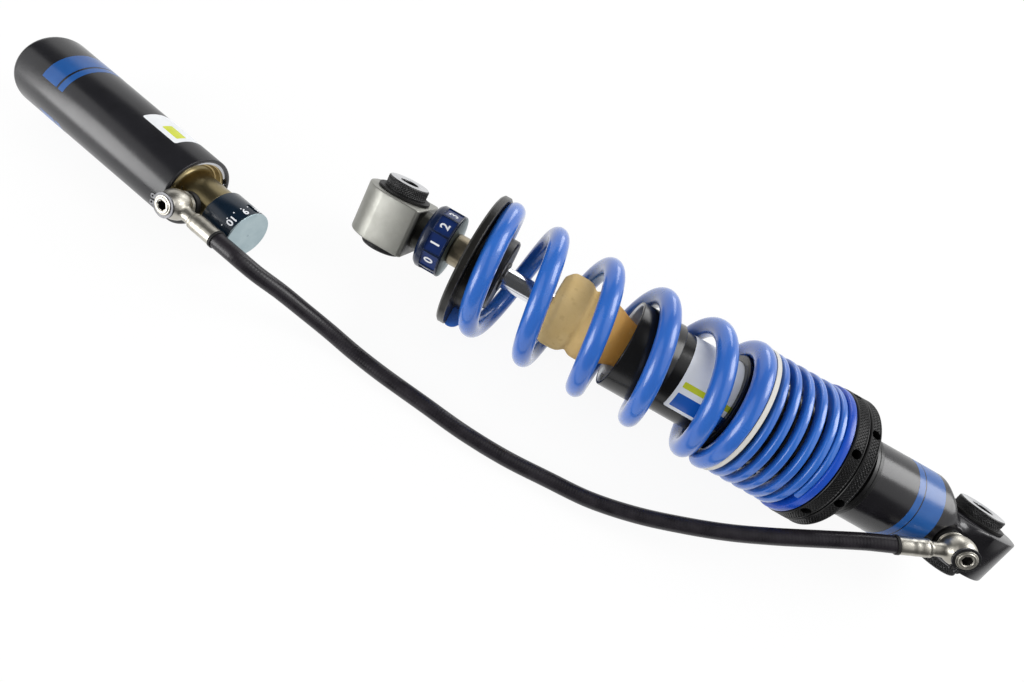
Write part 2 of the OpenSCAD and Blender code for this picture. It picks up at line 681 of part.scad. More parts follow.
module seat_circlip() color("#5c5d60") on_strut() difference() {
    ring(rod_r + 2.4, rod_r, seat_face - boss_len - ring_thk, seat_face - boss_len);
    translate([0, -2, seat_face - boss_len - 2 * ring_thk]) cube([4 * rod_r, 4, 3 * ring_thk]);
}

module adjuster_stem() color("#9a917c") on_strut() turned([
    [rod_r, seat_top], [stem_r, seat_top], [stem_r, seat_top + stem_len - 0.8],
    [stem_r - 0.8, seat_top + stem_len], [rod_r, seat_top + stem_len]]);

// The eye's outline: round away from the wheel, with flat sides that run to a flat end whose
// corners are rounded. Its faces lie eye_near above and eye_far below the bearing's middle.
eye_corner = 2.5;
eye_near = upper_eye_w / 2 - eye_shift;
eye_far = upper_eye_w / 2 + eye_shift;
eye_turn = acos(eye_side / upper_eye_r);
eye_shape = concat(
    [for (k = [0:24]) let (a = 180 + eye_turn + (180 - 2 * eye_turn) * k / 24)
        upper_eye_r * [cos(a), sin(a)]],
    [for (side = [1, -1], a = [0:15:90])
        [side * (eye_side - eye_corner + eye_corner * (side > 0 ? cos(a) : sin(a))),
            eye_flat - eye_corner + eye_corner * (side > 0 ? sin(a) : cos(a))]]);

module upper_eye() color("#c4c3bd") on_strut() difference() {
    union() {
        on_bolt(eye_to_eye) translate([0, 0, -eye_far])
            linear_extrude(height = upper_eye_w) polygon(eye_shape);
        translate([0, 0, seat_top + stem_len]) cylinder(r = hub_r, h = eye_to_eye - seat_top - stem_len);
        translate([0, 0, wheel_high + face_gap]) cylinder(r = hub_r + 3, h = wheel_to_eye - 2);
    }
    on_bolt(eye_to_eye) translate([0, 0, -upper_eye_w]) cylinder(r = upper_race_r, h = 2 * upper_eye_w);
    for (side = [-1, 1])
        on_bolt(eye_to_eye) translate([0, 0, side * (race_w / 2 + ring_thk / 2) - ring_thk / 2])
            cylinder(r = upper_race_r + 0.8, h = ring_thk);
    translate([0, 0, seat_top + stem_len - cut_over])
        cylinder(r = rod_r, h = rod_top - seat_top - stem_len + cut_over);
}

wheel_panels = 10;
wheel_turn = 4.5;      // where the first panel stands, round the strut
panel_sink = 0.6;
panel_edge = 1.1;      // land between a panel and the wheel's face on the seat's side
panel_len = wheel_w - 5.3;

module rebound_wheel() color("#0f2f63") on_strut() difference() {
    turned([[hub_r + run_gap, wheel_low], [wheel_r - 0.8, wheel_low], [wheel_r, wheel_low + 0.8],
        [wheel_r, wheel_high - 1.8], [wheel_r - 1.3, wheel_high], [hub_r + run_gap, wheel_high]]);
    for (k = [0:wheel_panels - 1]) rotate([0, 0, wheel_turn + 360 / wheel_panels * k])
        translate([wheel_r * cos(180 / wheel_panels) + panel_sink + 1, 0,
            wheel_low + panel_edge + panel_len / 2])
            cube([4, 1.7 * wheel_r * sin(180 / wheel_panels), panel_len], center = true);
}

module upper_bearing_race() color("#b9bcc0") on_strut() bearing_race(upper_race_r, upper_ball_r, eye_to_eye);
module upper_circlips() color("#4c4d50") on_strut() circlips(upper_race_r, eye_to_eye);
module upper_bearing_ball() color("#d6d8da") on_strut() bearing_ball(upper_ball_r, shank_step, eye_to_eye);
module upper_spacers() color("#1b1b1d") on_strut()
    spacers(upper_ball_r, upper_head_r, upper_spacer_r, eye_far, upper_stack_len,
        upper_bolt_r, eye_to_eye);
module upper_seals() color("#111111") on_strut()
    face_seals(upper_seal_r, upper_head_r, [eye_near, eye_far], eye_to_eye);

// ---------- hose and its fittings ----------

module banjo() difference() {
    union() {
        intersection() {
            sphere(r = banjo_r);
            translate([-ball_below, 0, 0]) rotate([0, 90, 0])
                cylinder(r = banjo_r, h = ball_below + ball_above);
        }
        translate([0, 0, banjo_r / 2]) cylinder(r = neck_r, h = neck_end - banjo_r / 2);
        translate([0, 0, ferrule_low - 2.4]) cylinder(r = neck_r + 1.2, h = 2.4, $fn = 6);
    }
    rotate([0, 90, 0]) cylinder(r = hose_bolt_r + run_gap, h = 4 * ball_below, center = true);
    cylinder(r = passage_r, h = neck_end + cut_over);
}

module ferrule() difference() {
    turned([[neck_r, ferrule_low], [ferrule_r, ferrule_low], [ferrule_r, ferrule_low + 2.2],
        [ferrule_r - 0.5, ferrule_low + 2.8], [ferrule_r - 0.5, ferrule_low + 3.6],
        [ferrule_r, ferrule_low + 4.2], [ferrule_r, ferrule_high - 0.4],
        [ferrule_r - 0.4, ferrule_high], [neck_r, ferrule_high]]);
}

// The bolt stands on the seat at 0 and clamps nothing: the fitting turns on its shank
module banjo_bolt() on_seat() difference() {
    union() {
        translate([0, 0, -shank_len + face_gap])
            cylinder(r = hose_bolt_r, h = shank_len + fitting_seat + ball_above + ring_thk);
        translate([0, 0, fitting_seat + ball_above + ring_thk]) chamfered(head_r, 0, head_h, 0.3);
    }
    translate([0, 0, fitting_seat + ball_above + ring_thk + head_h - socket_deep])
        cylinder(r = socket_af / sqrt(3), h = socket_deep + cut_over, $fn = 6);
    translate([0, 0, -2 * shank_len]) cylinder(r = passage_r, h = 2 * shank_len + fitting_seat);
    translate([0, 0, fitting_seat]) rotate([90, 0, 0])
        cylinder(r = passage_r, h = 4 * hose_bolt_r, center = true);
}

// A snap ring with two plier ears, round the bolt under its head; its gap points to an angle
module bolt_circlip(gap_angle)
    on_seat() translate([0, 0, fitting_seat + ball_above + face_gap]) difference() {
    union() {
        cylinder(r = washer_r, h = ring_thk - face_gap);
        for (side = [-1, 1]) rotate([0, 0, gap_angle + 13 * side]) translate([washer_r + 0.8, 0, 0])
            cylinder(r = 1.5, h = ring_thk - face_gap, $fn = 32);
    }
    translate([0, 0, -cut_over]) cylinder(r = hose_bolt_r, h = ring_thk + 2 * cut_over);
    rotate([0, 0, gap_angle]) translate([0, -0.5, -cut_over])
        cube([3 * washer_r, 1, ring_thk + 2 * cut_over]);
    for (side = [-1, 1]) rotate([0, 0, gap_angle + 13 * side]) translate([washer_r + 0.8, 0, -cut_over])
        cylinder(r = 0.6, h = ring_thk + 2 * cut_over, $fn = 32);
}

module banjo_washer() on_seat() ring(washer_r, hose_bolt_r, 0, fitting_seat - ball_below - face_gap);

// Unit vector, and a frame that follows the route without twisting
function unit(v) = v / norm(v);
function heading(path, i) =
    i <= 1 ? unit(path[1] - path[0])
    : i >= len(path) - 2 ? unit(path[len(path) - 1] - path[len(path) - 2])
    : unit(unit(path[i + 1] - path[i]) + unit(path[i] - path[i - 1]));
function side_of(direction) = unit(cross(direction, [0, 0, 1]));

module hose() color("#19181a") {
    skin([for (i = [0:hose_last])
        let (along = heading(hose_path, i), across = side_of(along), up = cross(across, along))
        [for (j = [0:hose_sides - 1])
            let (a = 360 * j / hose_sides)
            hose_path[i] + hose_d / 2 * (cos(a) * across + sin(a) * up)]]);
}

module end_ring() ring(ferrule_r + end_ring_lip, hose_d / 2,
    ferrule_high, ferrule_high + end_ring_len);

module hose_end_rings() color("#0e0e0f") {
    strut_fitting() end_ring();
    reservoir_fitting() end_ring();
}

module strut_banjo() color("#c9c7bf") strut_fitting() banjo();
module strut_ferrule() color("#c4c2ba") strut_fitting() ferrule();
module strut_banjo_bolt() color("#b3b1aa") strut_fitting() banjo_bolt();
module strut_bolt_circlip() color("#55555a") strut_fitting() bolt_circlip(235);
module strut_banjo_washer() color("#111111") strut_fitting() banjo_washer();
module reservoir_banjo() color("#c9c7bf") reservoir_fitting() banjo();
module reservoir_ferrule() color("#c4c2ba") reservoir_fitting() ferrule();
module reservoir_banjo_bolt() color("#b3b1aa") reservoir_fitting() banjo_bolt();
module reservoir_bolt_circlip() color("#55555a") reservoir_fitting() bolt_circlip(10);
module reservoir_banjo_washer() color("#111111") reservoir_fitting() banjo_washer();

// ---------- reservoir ----------

module reservoir_tube() color("#34343a") on_reservoir() difference() {
    turned(concat([[0, -res_len], [res_r - res_fillet, -res_len]],
        [for (a = [-75:15:0])
            [res_r - res_fillet + res_fillet * cos(a), -res_len + res_fillet + res_fillet * sin(a)]],
        [[res_r, -0.6], [res_r - 0.6, 0], [0, 0]]));
    translate([0, 0, -res_len + floor_thk]) cylinder(r = res_bore, h = res_len);
    translate([0, 0, -cap_recess]) cylinder(r = res_bore + 0.8, h = ring_thk);
    translate([0, 0, -res_len - cut_over]) cylinder(r = 4, h = floor_thk + 2 * cut_over);
}

module gas_valve() color("#b8b08a") on_reservoir() translate([0, 0, -res_len + 0.5]) difference() {
    union() {
        cylinder(r = 4, h = floor_thk - 0.5);
        translate([0, 0, floor_thk - 0.5]) cylinder(r = 5.5, h = 1.5);
    }
    translate([0, 0, -cut_over]) cylinder(r = 1.8, h = 3 + cut_over, $fn = 6);
}

module reservoir_end_cap() color("#c2ad84") on_reservoir() difference() {
    turned([[0, -cap_recess - end_cap_len], [res_bore, -cap_recess - end_cap_len], [res_bore, -cap_recess],
        [res_bore - 2, -cap_recess], [res_bore - 3.4, -cap_recess - 2.4], [0, -cap_recess - 2.4]]);
    translate([0, 0, -2 * end_cap_len]) cylinder(r = housing_spigot_r, h = 2 * end_cap_len);
}

module reservoir_snap_ring() color("#9a9a9c") on_reservoir() difference() {
    ring(res_bore + 0.8, res_bore - 1.2, -cap_recess, -cap_recess + ring_thk);
    rotate([0, 0, 200]) translate([0, -2, -cap_recess - cut_over])
        cube([2 * res_r, 4, ring_thk + 2 * cut_over]);
}

housing_base = -cap_recess - 2.4;

module valve_housing() color("#a59a7e") on_reservoir() difference() {
    turned(concat([[0, -cap_recess - end_cap_len], [housing_spigot_r, -cap_recess - end_cap_len],
            [housing_spigot_r, housing_base]],
        [for (a = [0:15:90])
            [housing_r + housing_flare * (1 - sin(a)), housing_base + housing_flare * (1 - cos(a))]],
        [[housing_r, housing_len - 0.8], [housing_r - 0.8, housing_len], [spindle_r, housing_len],
            [spindle_r, housing_len + spindle_len], [0, housing_len + spindle_len]]));
    translate([res_fit_x - fitting_seat, -res_r, res_fit_z - banjo_r - 0.6])
        cube([2 * res_r, 2 * res_r, 2 * (banjo_r + 0.6)]);
    translate([res_fit_x - fitting_seat - shank_len, 0, res_fit_z]) rotate([0, 90, 0])
        cylinder(r = hose_bolt_r + run_gap, h = 2 * shank_len);
    translate([0, 0, -2 * end_cap_len])
        cylinder(r = needle_bore_r, h = 2 * end_cap_len + housing_len + spindle_len - needle_back);
}

module compression_needle() color("#cfd2d4") on_reservoir() translate([0, 0, -cap_recess - end_cap_len])
    let (top = cap_recess + end_cap_len + res_fit_z - hose_bolt_r - 2)
    turned([[0, 2], [needle_r, 6], [needle_r, top], [0, top]]);

module compression_knob() color("#0f2a3c") on_reservoir() difference() {
    translate([0, 0, knob_low]) chamfered(knob_r, 0, knob_len, 0.5);
    translate([0, 0, knob_low - cut_over]) cylinder(r = spindle_r + run_gap, h = spindle_len + cut_over);
    rotate([0, 0, knob_slot_turn])
        translate([knob_r - 1.2, -knob_slot_w / 2, knob_low + knob_len - knob_slot_back])
            cube([4, knob_slot_w, knob_slot_len]);
}

module dividing_piston() color("#a7a9ac") on_reservoir()
    translate([0, 0, divider_z - divider_len]) difference() {
        turned([[0, 0], [res_bore - run_gap, 0], [res_bore - run_gap, 5], [res_bore - 2.2, 5],
            [res_bore - 2.2, 9], [res_bore - run_gap, 9], [res_bore - run_gap, divider_len],
            [0, divider_len]]);
        translate([0, 0, -cut_over]) cylinder(r = res_bore - 5, h = divider_len - 4 + cut_over);
    }

module dividing_seal() color("#141414") on_reservoir() translate([0, 0, divider_z - divider_len])
    ring(res_bore - run_gap, res_bore - 2.2, 5, 9);

// ---------- what is drawn ----------

lower_foot();
damper_tube();
body_cap();
rod_guide();
rod_seal();
rod_wiper();
guide_snap_ring();
collar_stop_ring();
collar_o_ring();
bump_stop();
helper_spring();
lower_bearing_race();
lower_circlips();
strut_banjo_bolt();
strut_bolt_circlip();
strut_banjo_washer();
spring_collar();
lock_collar();
collar_slip_ring();
spring_coupler();
coupler_ring();
main_spring();
piston_rod();
piston();
piston_band();
shim_stacks();
piston_nut();
rebound_needle();
upper_spring_seat();
seat_circlip();
adjuster_stem();
upper_eye();
upper_bearing_race();
upper_circlips();
rebound_wheel();
upper_bearing_ball();
upper_spacers();
upper_seals();
lower_bearing_ball();
lower_spacers();
lower_seals();
strut_banjo();
strut_ferrule();
hose();
hose_end_rings();
reservoir_ferrule();
reservoir_banjo();
reservoir_tube();
reservoir_end_cap();
reservoir_snap_ring();
valve_housing();
reservoir_banjo_bolt();
reservoir_bolt_circlip();
reservoir_banjo_washer();
gas_valve();
dividing_piston();
dividing_seal();
compression_knob();
compression_needle();
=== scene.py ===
import math

import bmesh
import bpy
from mathutils import Matrix, Vector


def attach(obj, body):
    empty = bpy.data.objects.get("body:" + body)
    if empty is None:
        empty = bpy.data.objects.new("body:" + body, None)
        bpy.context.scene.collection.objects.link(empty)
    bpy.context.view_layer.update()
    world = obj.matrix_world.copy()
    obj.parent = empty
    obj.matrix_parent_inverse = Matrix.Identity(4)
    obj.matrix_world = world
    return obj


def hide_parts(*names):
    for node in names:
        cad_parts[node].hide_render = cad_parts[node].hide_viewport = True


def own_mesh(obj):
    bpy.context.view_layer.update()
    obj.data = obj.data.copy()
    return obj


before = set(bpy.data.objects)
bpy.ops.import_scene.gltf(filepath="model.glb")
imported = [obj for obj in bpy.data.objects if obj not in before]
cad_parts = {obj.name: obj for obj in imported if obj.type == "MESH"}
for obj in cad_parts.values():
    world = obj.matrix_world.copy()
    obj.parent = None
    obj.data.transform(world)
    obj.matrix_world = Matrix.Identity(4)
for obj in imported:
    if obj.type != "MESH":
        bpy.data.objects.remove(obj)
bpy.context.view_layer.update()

# ---------- studio: camera, soft light and floor ----------
# The strut lies on a white sweep in a dark room with three white panels. A soft box stands in
# front of each: one low behind the strut, one high on the right and one low on the left.

scene = bpy.context.scene
scene.view_settings.view_transform = "Standard"


def stood(name, data):
    """A new object in the scene, made of this data."""
    made = bpy.data.objects.new(name, data)
    scene.collection.objects.link(made)
    return made


camera = stood("camera", bpy.data.cameras.new("camera"))
camera.data.sensor_width = 36
camera.data.lens = 20.57
camera.data.clip_start = 0.01
camera.matrix_world = Matrix((
    (0.8695, -0.4939, 0.0, -0.2809),
    (0.4420, 0.7781, -0.4462, -0.1789),
    (0.2204, 0.3880, 0.8949, 0.2914),
    (0.0, 0.0, 0.0, 1.0)))
scene.camera = camera


def node(tree, kind, settings=None, **inputs):
    """Adds one shader node; inputs are named by their label, or _0, _1 by their number."""
    made = tree.nodes.new("ShaderNode" + kind)
    for key, value in (settings or {}).items():
        setattr(made, key, value)
    for key, value in inputs.items():
        socket = made.inputs[int(key[1:]) if key[0] == "_" else key.replace("_", " ")]
        if isinstance(value, bpy.types.NodeSocket):
            tree.links.new(value, socket)
        else:
            socket.default_value = value
    return made.outputs


def computed(tree, operation, first, second):
    """One Math node over two values."""
    return node(tree, "Math", {"operation": operation}, _0=first, _1=second)[0]


def aligned(tree, first, second):
    """How far a first vector reaches along a second."""
    product = node(tree, "VectorMath", {"operation": "DOT_PRODUCT"}, _0=first, _1=second)
    return product["Value"]


def ranged(tree, value, low=0, high=1, kind="LINEAR", **to):
    """A value's place between low and high, as 0 to 1 or as the range that is given."""
    return node(tree, "MapRange", {"interpolation_type": kind}, Value=value, From_Min=low,
                From_Max=high, **to)[0]


def seen_directly(tree):
    """1 for what the camera, a mirror or glass sees and 0 for other light; then the rays."""
    rays = node(tree, "LightPath")
    first = computed(tree, "MAXIMUM", rays["Is Camera Ray"], rays["Is Glossy Ray"])
    return computed(tree, "MAXIMUM", first, rays["Is Transmission Ray"]), rays


studio = bpy.data.worlds.new("studio")
studio.use_nodes = True
scene.world = studio
air = studio.node_tree
air.nodes.clear()
direct, rays = seen_directly(air)
skyward = node(air, "TexCoord")["Generated"]


def panel(direction, start, end):
    """1 where the room is seen towards a white panel, 0 past the panel's soft edge."""
    return ranged(air, aligned(air, skyward, direction), start, end, "SMOOTHSTEP")


back_panel = computed(air, "MULTIPLY", panel((0, 1, 0), 0.25, 0.65),
                      panel((0, 0, -1), -0.62, -0.40))
side_panels = computed(air, "MAXIMUM", panel((-0.75, -0.433, 0.5), 0.84, 0.88),
                       panel((0.683, 0.183, 0.707), 0.72, 0.82))
panels_lit = computed(air, "MAXIMUM", back_panel, side_panels)
room = ranged(air, panels_lit, To_Min=0.07)
walls = computed(air, "MAXIMUM", room, rays["Is Camera Ray"])
bright = node(air, "Background", Color=walls, Strength=1)[0]
fill = node(air, "Background", Color=(1, 1, 1, 1), Strength=0.74)[0]
both = node(air, "MixShader", _0=direct, _1=fill, _2=bright)[0]
node(air, "OutputWorld", Surface=both)


def soft_box(name, aim, direction, distance, size, watts):
    """A rectangular soft box that stands at a distance in a direction and points at its aim."""
    lamp = bpy.data.lights.new(name, "AREA")
    lamp.shape = "RECTANGLE"
    lamp.size, lamp.size_y = size
    lamp.energy = watts
    holder = stood(name, lamp)
    way = Vector(direction).normalized()
    holder.location = Vector(aim) + way * distance
    holder.rotation_euler = way.to_track_quat("Z", "X").to_euler()


middle = (-0.20, -0.03, 0.0)
soft_box("low_soft_box_behind", (-0.20, 0, 0.17), (0, 1, 0), 1.5, (2.1, 0.42), 8.3)
soft_box("high_soft_box_right", middle, (0.60, 0.42, 0.68), 1.3, (0.85, 0.67), 10.5)
soft_box("low_soft_box_left", middle, (-0.78, -0.59, 0.21), 1.3, (0.80, 0.62), 9.0)


def blank_material(name):
    """A new material and its empty tree of shader nodes."""
    made = bpy.data.materials.new(name)
    made.use_nodes = True
    made.node_tree.nodes.clear()
    return made, made.node_tree


bench_level, bench_reach = -0.041, 4
floor_mesh = bpy.data.meshes.new("floor")
floor_mesh.from_pydata([(x * bench_reach, y * bench_reach, bench_level)
                        for x, y in ((-1, -1), (1, -1), (1, 1), (-1, 1))], [], [(0, 1, 2, 3)])
sweep, tree = blank_material("white_sweep")
direct, rays = seen_directly(tree)
paper = node(tree, "BsdfDiffuse", Color=(0.9, 0.9, 0.9, 1))[0]
across_floor = node(tree, "SeparateXYZ", _0=node(tree, "TexCoord")["Object"])["Y"]
near_edge = ranged(tree, across_floor, -0.50, -0.20, "SMOOTHSTEP", To_Min=0.1)
glow_level = computed(tree, "MAXIMUM", near_edge, rays["Is Camera Ray"])
glow = node(tree, "Emission", Color=(1, 1, 1, 1), Strength=glow_level)[0]
share = ranged(tree, rays["Is Camera Ray"], To_Min=1, To_Max=0.92)
share = computed(tree, "MULTIPLY", direct, share)
both = node(tree, "MixShader", _0=share, _1=paper, _2=glow)[0]
node(tree, "OutputMaterial", Surface=both)
floor_mesh.materials.append(sweep)
floor = stood("floor", floor_mesh)

# ---------- hose, its ferrules and its fittings ----------
# A braided hydraulic hose with a smooth black cover joins the strut to its reservoir. A steel
# ferrule is crimped on each end, and each ends in a banjo that swivels round a hollow bolt.


def turn(degrees, axis):
    """A turn about one axis."""
    return Matrix.Rotation(math.radians(degrees), 4, axis)


def shift(x, y, z):
    """A move along the three axes."""
    return Matrix.Translation((x, y, z))


# Frames in which the groups are drawn, in millimetres: the upright strut and the reservoir, each
# with its own axis as Z, and the hose's fitting on each
fitting_height = 20
strut_frame = Matrix.Scale(0.001, 4) @ turn(45, "X") @ turn(-90, "Y")
strut_fitting = strut_frame @ shift(32, 0, fitting_height) @ turn(27, "X")
reservoir_frame = Matrix.Scale(0.001, 4) @ shift(-481.5, -41.7, -18.5) \
    @ turn(-11.1, "Z") @ turn(230, "X") @ turn(90, "Y")
reservoir_fitting = reservoir_frame @ shift(22.9, 0, 8.9)


def piece(name, mesh, body, finishes, slot, *nodes, smooth=32):
    """Makes a mesh, with one finish or a list of them, into a piece that rides on a body."""
    mesh.name = name
    mesh.shade_smooth()
    mesh.set_sharp_from_angle(angle=math.radians(smooth))
    made = stood(name, mesh)
    for finish in finishes if isinstance(finishes, list) else [finishes]:
        mesh.materials.append(finish)
    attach(made, body)
    if nodes:
        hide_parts(*nodes)
    return made


def from_rings(rings, closed_along=False):
    """Skins rings of equal size; the last joins the first, or a face closes each end."""
    sides, count = len(rings[0]), len(rings)
    points = [p for ring in rings for p in ring]
    faces = []
    for i in range(count if closed_along else count - 1):
        a, b = i * sides, (i + 1) % count * sides
        faces += [(a + j, a + (j + 1) % sides, b + (j + 1) % sides, b + j) for j in range(sides)]
    if not closed_along:
        faces.append(tuple(range(sides))[::-1])
        faces.append(tuple(range((count - 1) * sides, count * sides)))
    mesh = bpy.data.meshes.new("rings")
    mesh.from_pydata(points, [], faces)
    return mesh


def tidied(mesh, place=None, weld=0.001, thinnest=0.0001):
    """Welds doubles, drops slivers, turns all faces outward and stands the mesh in its frame."""
    work = bmesh.new()
    work.from_mesh(mesh)
    bmesh.ops.remove_doubles(work, verts=work.verts, dist=weld)
    if thinnest:
        bmesh.ops.dissolve_degenerate(work, edges=work.edges, dist=thinnest)
    bmesh.ops.recalc_face_normals(work, faces=work.faces)
    work.to_mesh(mesh)
    work.free()
    if place is not None:
        mesh.transform(place)
    return mesh


def lathe(outline, place, steps, rough=None):
    """Turns a closed outline of (radius, height) points about Z.

    What rough(angle, radius, height) gives is added to each point's radius.
    """
    rings = []
    for k in range(steps):
        a = math.tau * k / steps
        ring = []
        for r, h in outline:
            own = r + (rough(a, r, h) if rough else 0)
            ring.append((own * math.cos(a), own * math.sin(a), h))
        rings.append(ring)
    return tidied(from_rings(rings, closed_along=True), place)


def arc(centre_r, centre_h, radius, start, end, steps):
    """Points of a round corner in an outline."""
    angles = [math.radians(start + (end - start) * k / steps) for k in range(steps + 1)]
    return [(centre_r + radius * math.cos(a), centre_h + radius * math.sin(a)) for a in angles]


def joined(*meshes):
    """Several meshes as one."""
    work = bmesh.new()
    for mesh in meshes:
        work.from_mesh(mesh)
    whole = bpy.data.meshes.new("joined")
    work.to_mesh(whole)
    work.free()
    return whole


def shader_group(name, inputs, outputs):
    """An effect that several finishes share, with its inputs' usual values and outputs' kinds."""
    group = bpy.data.node_groups.new(name, "ShaderNodeTree")
    for label, value in inputs.items():
        kind = "NodeSocketVector" if isinstance(value, tuple) else "NodeSocketFloat"
        socket = group.interface.new_socket(label, in_out="INPUT", socket_type=kind)
        socket.default_value = value
    for label, kind in outputs.items():
        group.interface.new_socket(label, in_out="OUTPUT", socket_type="NodeSocket" + kind)
    given = group.nodes.new("NodeGroupInput").outputs
    return group, given, group.nodes.new("NodeGroupOutput").inputs


def use_group(tree, group, **inputs):
    """Uses a shared effect in a finish."""
    return node(tree, "Group", {"node_tree": group}, **inputs)


# Broken edges: a rounded normal along every edge, and a mask of where handling wears it
edge_break, given, out = shader_group(
    "edge_break", {"Radius": 0.0003, "Wear": 0.5, "Place": (0, 0, 0)},
    {"Mask": "Float", "Normal": "Vector"})
rounded = node(edge_break, "Bevel", {"samples": 6}, Radius=given["Radius"])["Normal"]
flat = node(edge_break, "NewGeometry")["Normal"]
along_edge = ranged(edge_break, aligned(edge_break, rounded, flat), 0.995, 0.90)
patchy = node(edge_break, "TexNoise", Vector=given["Place"], Scale=420, Detail=3)[0]
patches = ranged(edge_break, patchy, 0.35, 0.65)
worn = computed(edge_break, "MULTIPLY", along_edge, patches)
edge_break.links.new(computed(edge_break, "MULTIPLY", worn, given["Wear"]), out["Mask"])
edge_break.links.new(rounded, out["Normal"])

# Handling: roughness that wanders from low to high over the surface, in broad soft patches
handling, given, out = shader_group(
    "handling", {"Place": (0, 0, 0), "Scale": 60, "Low": 0.3, "High": 0.4},
    {"Roughness": "Float", "Mask": "Float"})
broad = node(handling, "TexNoise", Vector=given["Place"], Scale=given["Scale"], Detail=4,
             Roughness=0.6)[0]
mask = ranged(handling, broad, 0.3, 0.7)
wander = ranged(handling, mask, To_Min=given["Low"], To_Max=given["High"])
handling.links.new(wander, out["Roughness"])
handling.links.new(mask, out["Mask"])

# Tool marks: fine rings round an axis, as a lathe leaves them, with a grain between them
tool_marks, given, out = shader_group(
    "tool_marks",
    {"Place": (0, 0, 0), "Axis": (1, 0, 0), "Rings": 2000, "Grain": 2500, "Share": 0.5},
    {"Height": "Float"})
station = computed(tool_marks, "MULTIPLY", aligned(tool_marks, given["Place"], given["Axis"]),
                   given["Rings"])
cuts = node(tool_marks, "TexNoise", {"noise_dimensions": "1D"}, W=station, Scale=1, Detail=2)[0]
grain = node(tool_marks, "TexNoise", Vector=given["Place"], Scale=given["Grain"], Detail=2)[0]
blend = node(tool_marks, "Mix", _0=given["Share"], _2=grain, _3=cuts)[0]
tool_marks.links.new(blend, out["Height"])


def paint_chip(red, green, blue):
    """A colour from a paint chip, 0 to 255 a channel, as the renderer wants it."""
    return tuple(((c / 255 + 0.055) / 1.055) ** 2.4 if c > 10 else c / 255 / 12.92
                 for c in (red, green, blue)) + (1.0,)


def tinted(tree, share, first, second):
    """Fades from one colour to a second, each a paint chip or what another node gives."""
    chips = [paint_chip(*c) if isinstance(c, tuple) else c for c in (first, second)]
    return node(tree, "Mix", {"data_type": "RGBA"}, _0=share, _6=chips[0], _7=chips[1])[2]


def lit(tree, **inputs):
    """Closes a material with the shader that light falls on."""
    node(tree, "OutputMaterial", Surface=node(tree, "BsdfPrincipled", **inputs)[0])


def surface(name, colour, shade, metallic=0, rough=(0.3, 0.4), specular=0.5, worn=None,
            wear=0.4, edge=0.0003, marks=((1, 0, 0), 2000, 2500, 0.3), depth=0.00002,
            coat=0, patch=60):
    """A finish in paint chips: its colour wanders to a shade, and its edges wear to another.

    Tool marks, given by their axis, rings, grain and share, lie under the light.
    """
    made, tree = blank_material(name)
    where = node(tree, "TexCoord")["Object"]
    hand = use_group(tree, handling, Place=where, Scale=patch, Low=rough[0], High=rough[1])
    edges = use_group(tree, edge_break, Radius=edge, Wear=wear, Place=where)
    base = tinted(tree, hand["Mask"], colour, shade)
    base = tinted(tree, edges["Mask"], base, worn or shade)
    height = use_group(tree, tool_marks, Place=where, Axis=marks[0], Rings=marks[1],
                       Grain=marks[2], Share=marks[3])["Height"]
    bump = node(tree, "Bump", Strength=1, Distance=depth, Height=height,
                Normal=edges["Normal"])[0]
    lit(tree, Base_Color=base, Metallic=metallic, Roughness=hand["Roughness"],
        Specular_IOR_Level=specular, Normal=bump, Coat_Weight=coat, Coat_Roughness=0.08)
    return made


def metal(name, colour, shade, **others):
    """A bare or plated metal's finish."""
    return surface(name, colour, shade, metallic=1, **others)


def dress(material, *nodes):
    """Gives solids that already have their shape their finish."""
    for name in nodes:
        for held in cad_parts[name].material_slots:
            held.link = "OBJECT"
            held.material = material


# The route over the bench, from the strut's fitting to the reservoir's: X, Y and height above the
# bench. Six points at each end are eased onto the fitting, which the hose leaves straight.
hose_diameter = 0.0095
bench_route = [Vector(p) * 0.001 for p in (
    (-46.7, -32.3, 54), (-60, -37, 49.3), (-80, -45.6, 42), (-103, -55.5, 34), (-125, -64, 27),
    (-148, -71, 20), (-172, -77, 14), (-198, -81, 9), (-225, -82, 6), (-252, -83, 5),
    (-280, -82, 5), (-308, -79, 5), (-336, -76, 5), (-357, -73, 5.5), (-376, -70, 9),
    (-392, -69, 16), (-406, -69, 25), (-420, -69.5, 33), (-434, -68, 38.2), (-447.2, -65.4, 38.8))]
hose_lift = bench_level + hose_diameter / 2 - min(p.z for p in bench_route)
ferrule_end, hose_straight, hose_reach = 30, 13.3, 6


def eased_onto(place, route):
    """Moves a route's first points so that it starts at a fitting and leaves it straight."""
    shift = place @ Vector((0, 0, ferrule_end)) - route[0]
    moved = [p + shift * max(0, 1 - i / hose_reach) for i, p in enumerate(route)]
    moved[1] = place @ Vector((0, 0, ferrule_end + hose_straight))
    return moved


hose_route = eased_onto(strut_fitting, [p + Vector((0, 0, hose_lift)) for p in bench_route])
hose_route = eased_onto(reservoir_fitting, hose_route[::-1])[::-1]


def smooth_line(points, steps=16):
    """A smooth line through the points, straight in its first and last stretch."""
    last = len(points) - 1
    way = [(points[min(i + 1, last)] - points[max(i - 1, 0)]) / 2 for i in range(last + 1)]
    way[0] = way[1] = points[1] - points[0]
    way[-1] = way[-2] = points[-1] - points[-2]
    line = []
    for p, q, m, n in zip(points, points[1:], way, way[1:]):
        for k in range(steps):
            t = k / steps
            line.append(p * (2 * t ** 3 - 3 * t * t + 1) + m * (t ** 3 - 2 * t * t + t)
                        + q * (3 * t * t - 2 * t ** 3) + n * (t ** 3 - t * t))
    return line + [points[-1]]


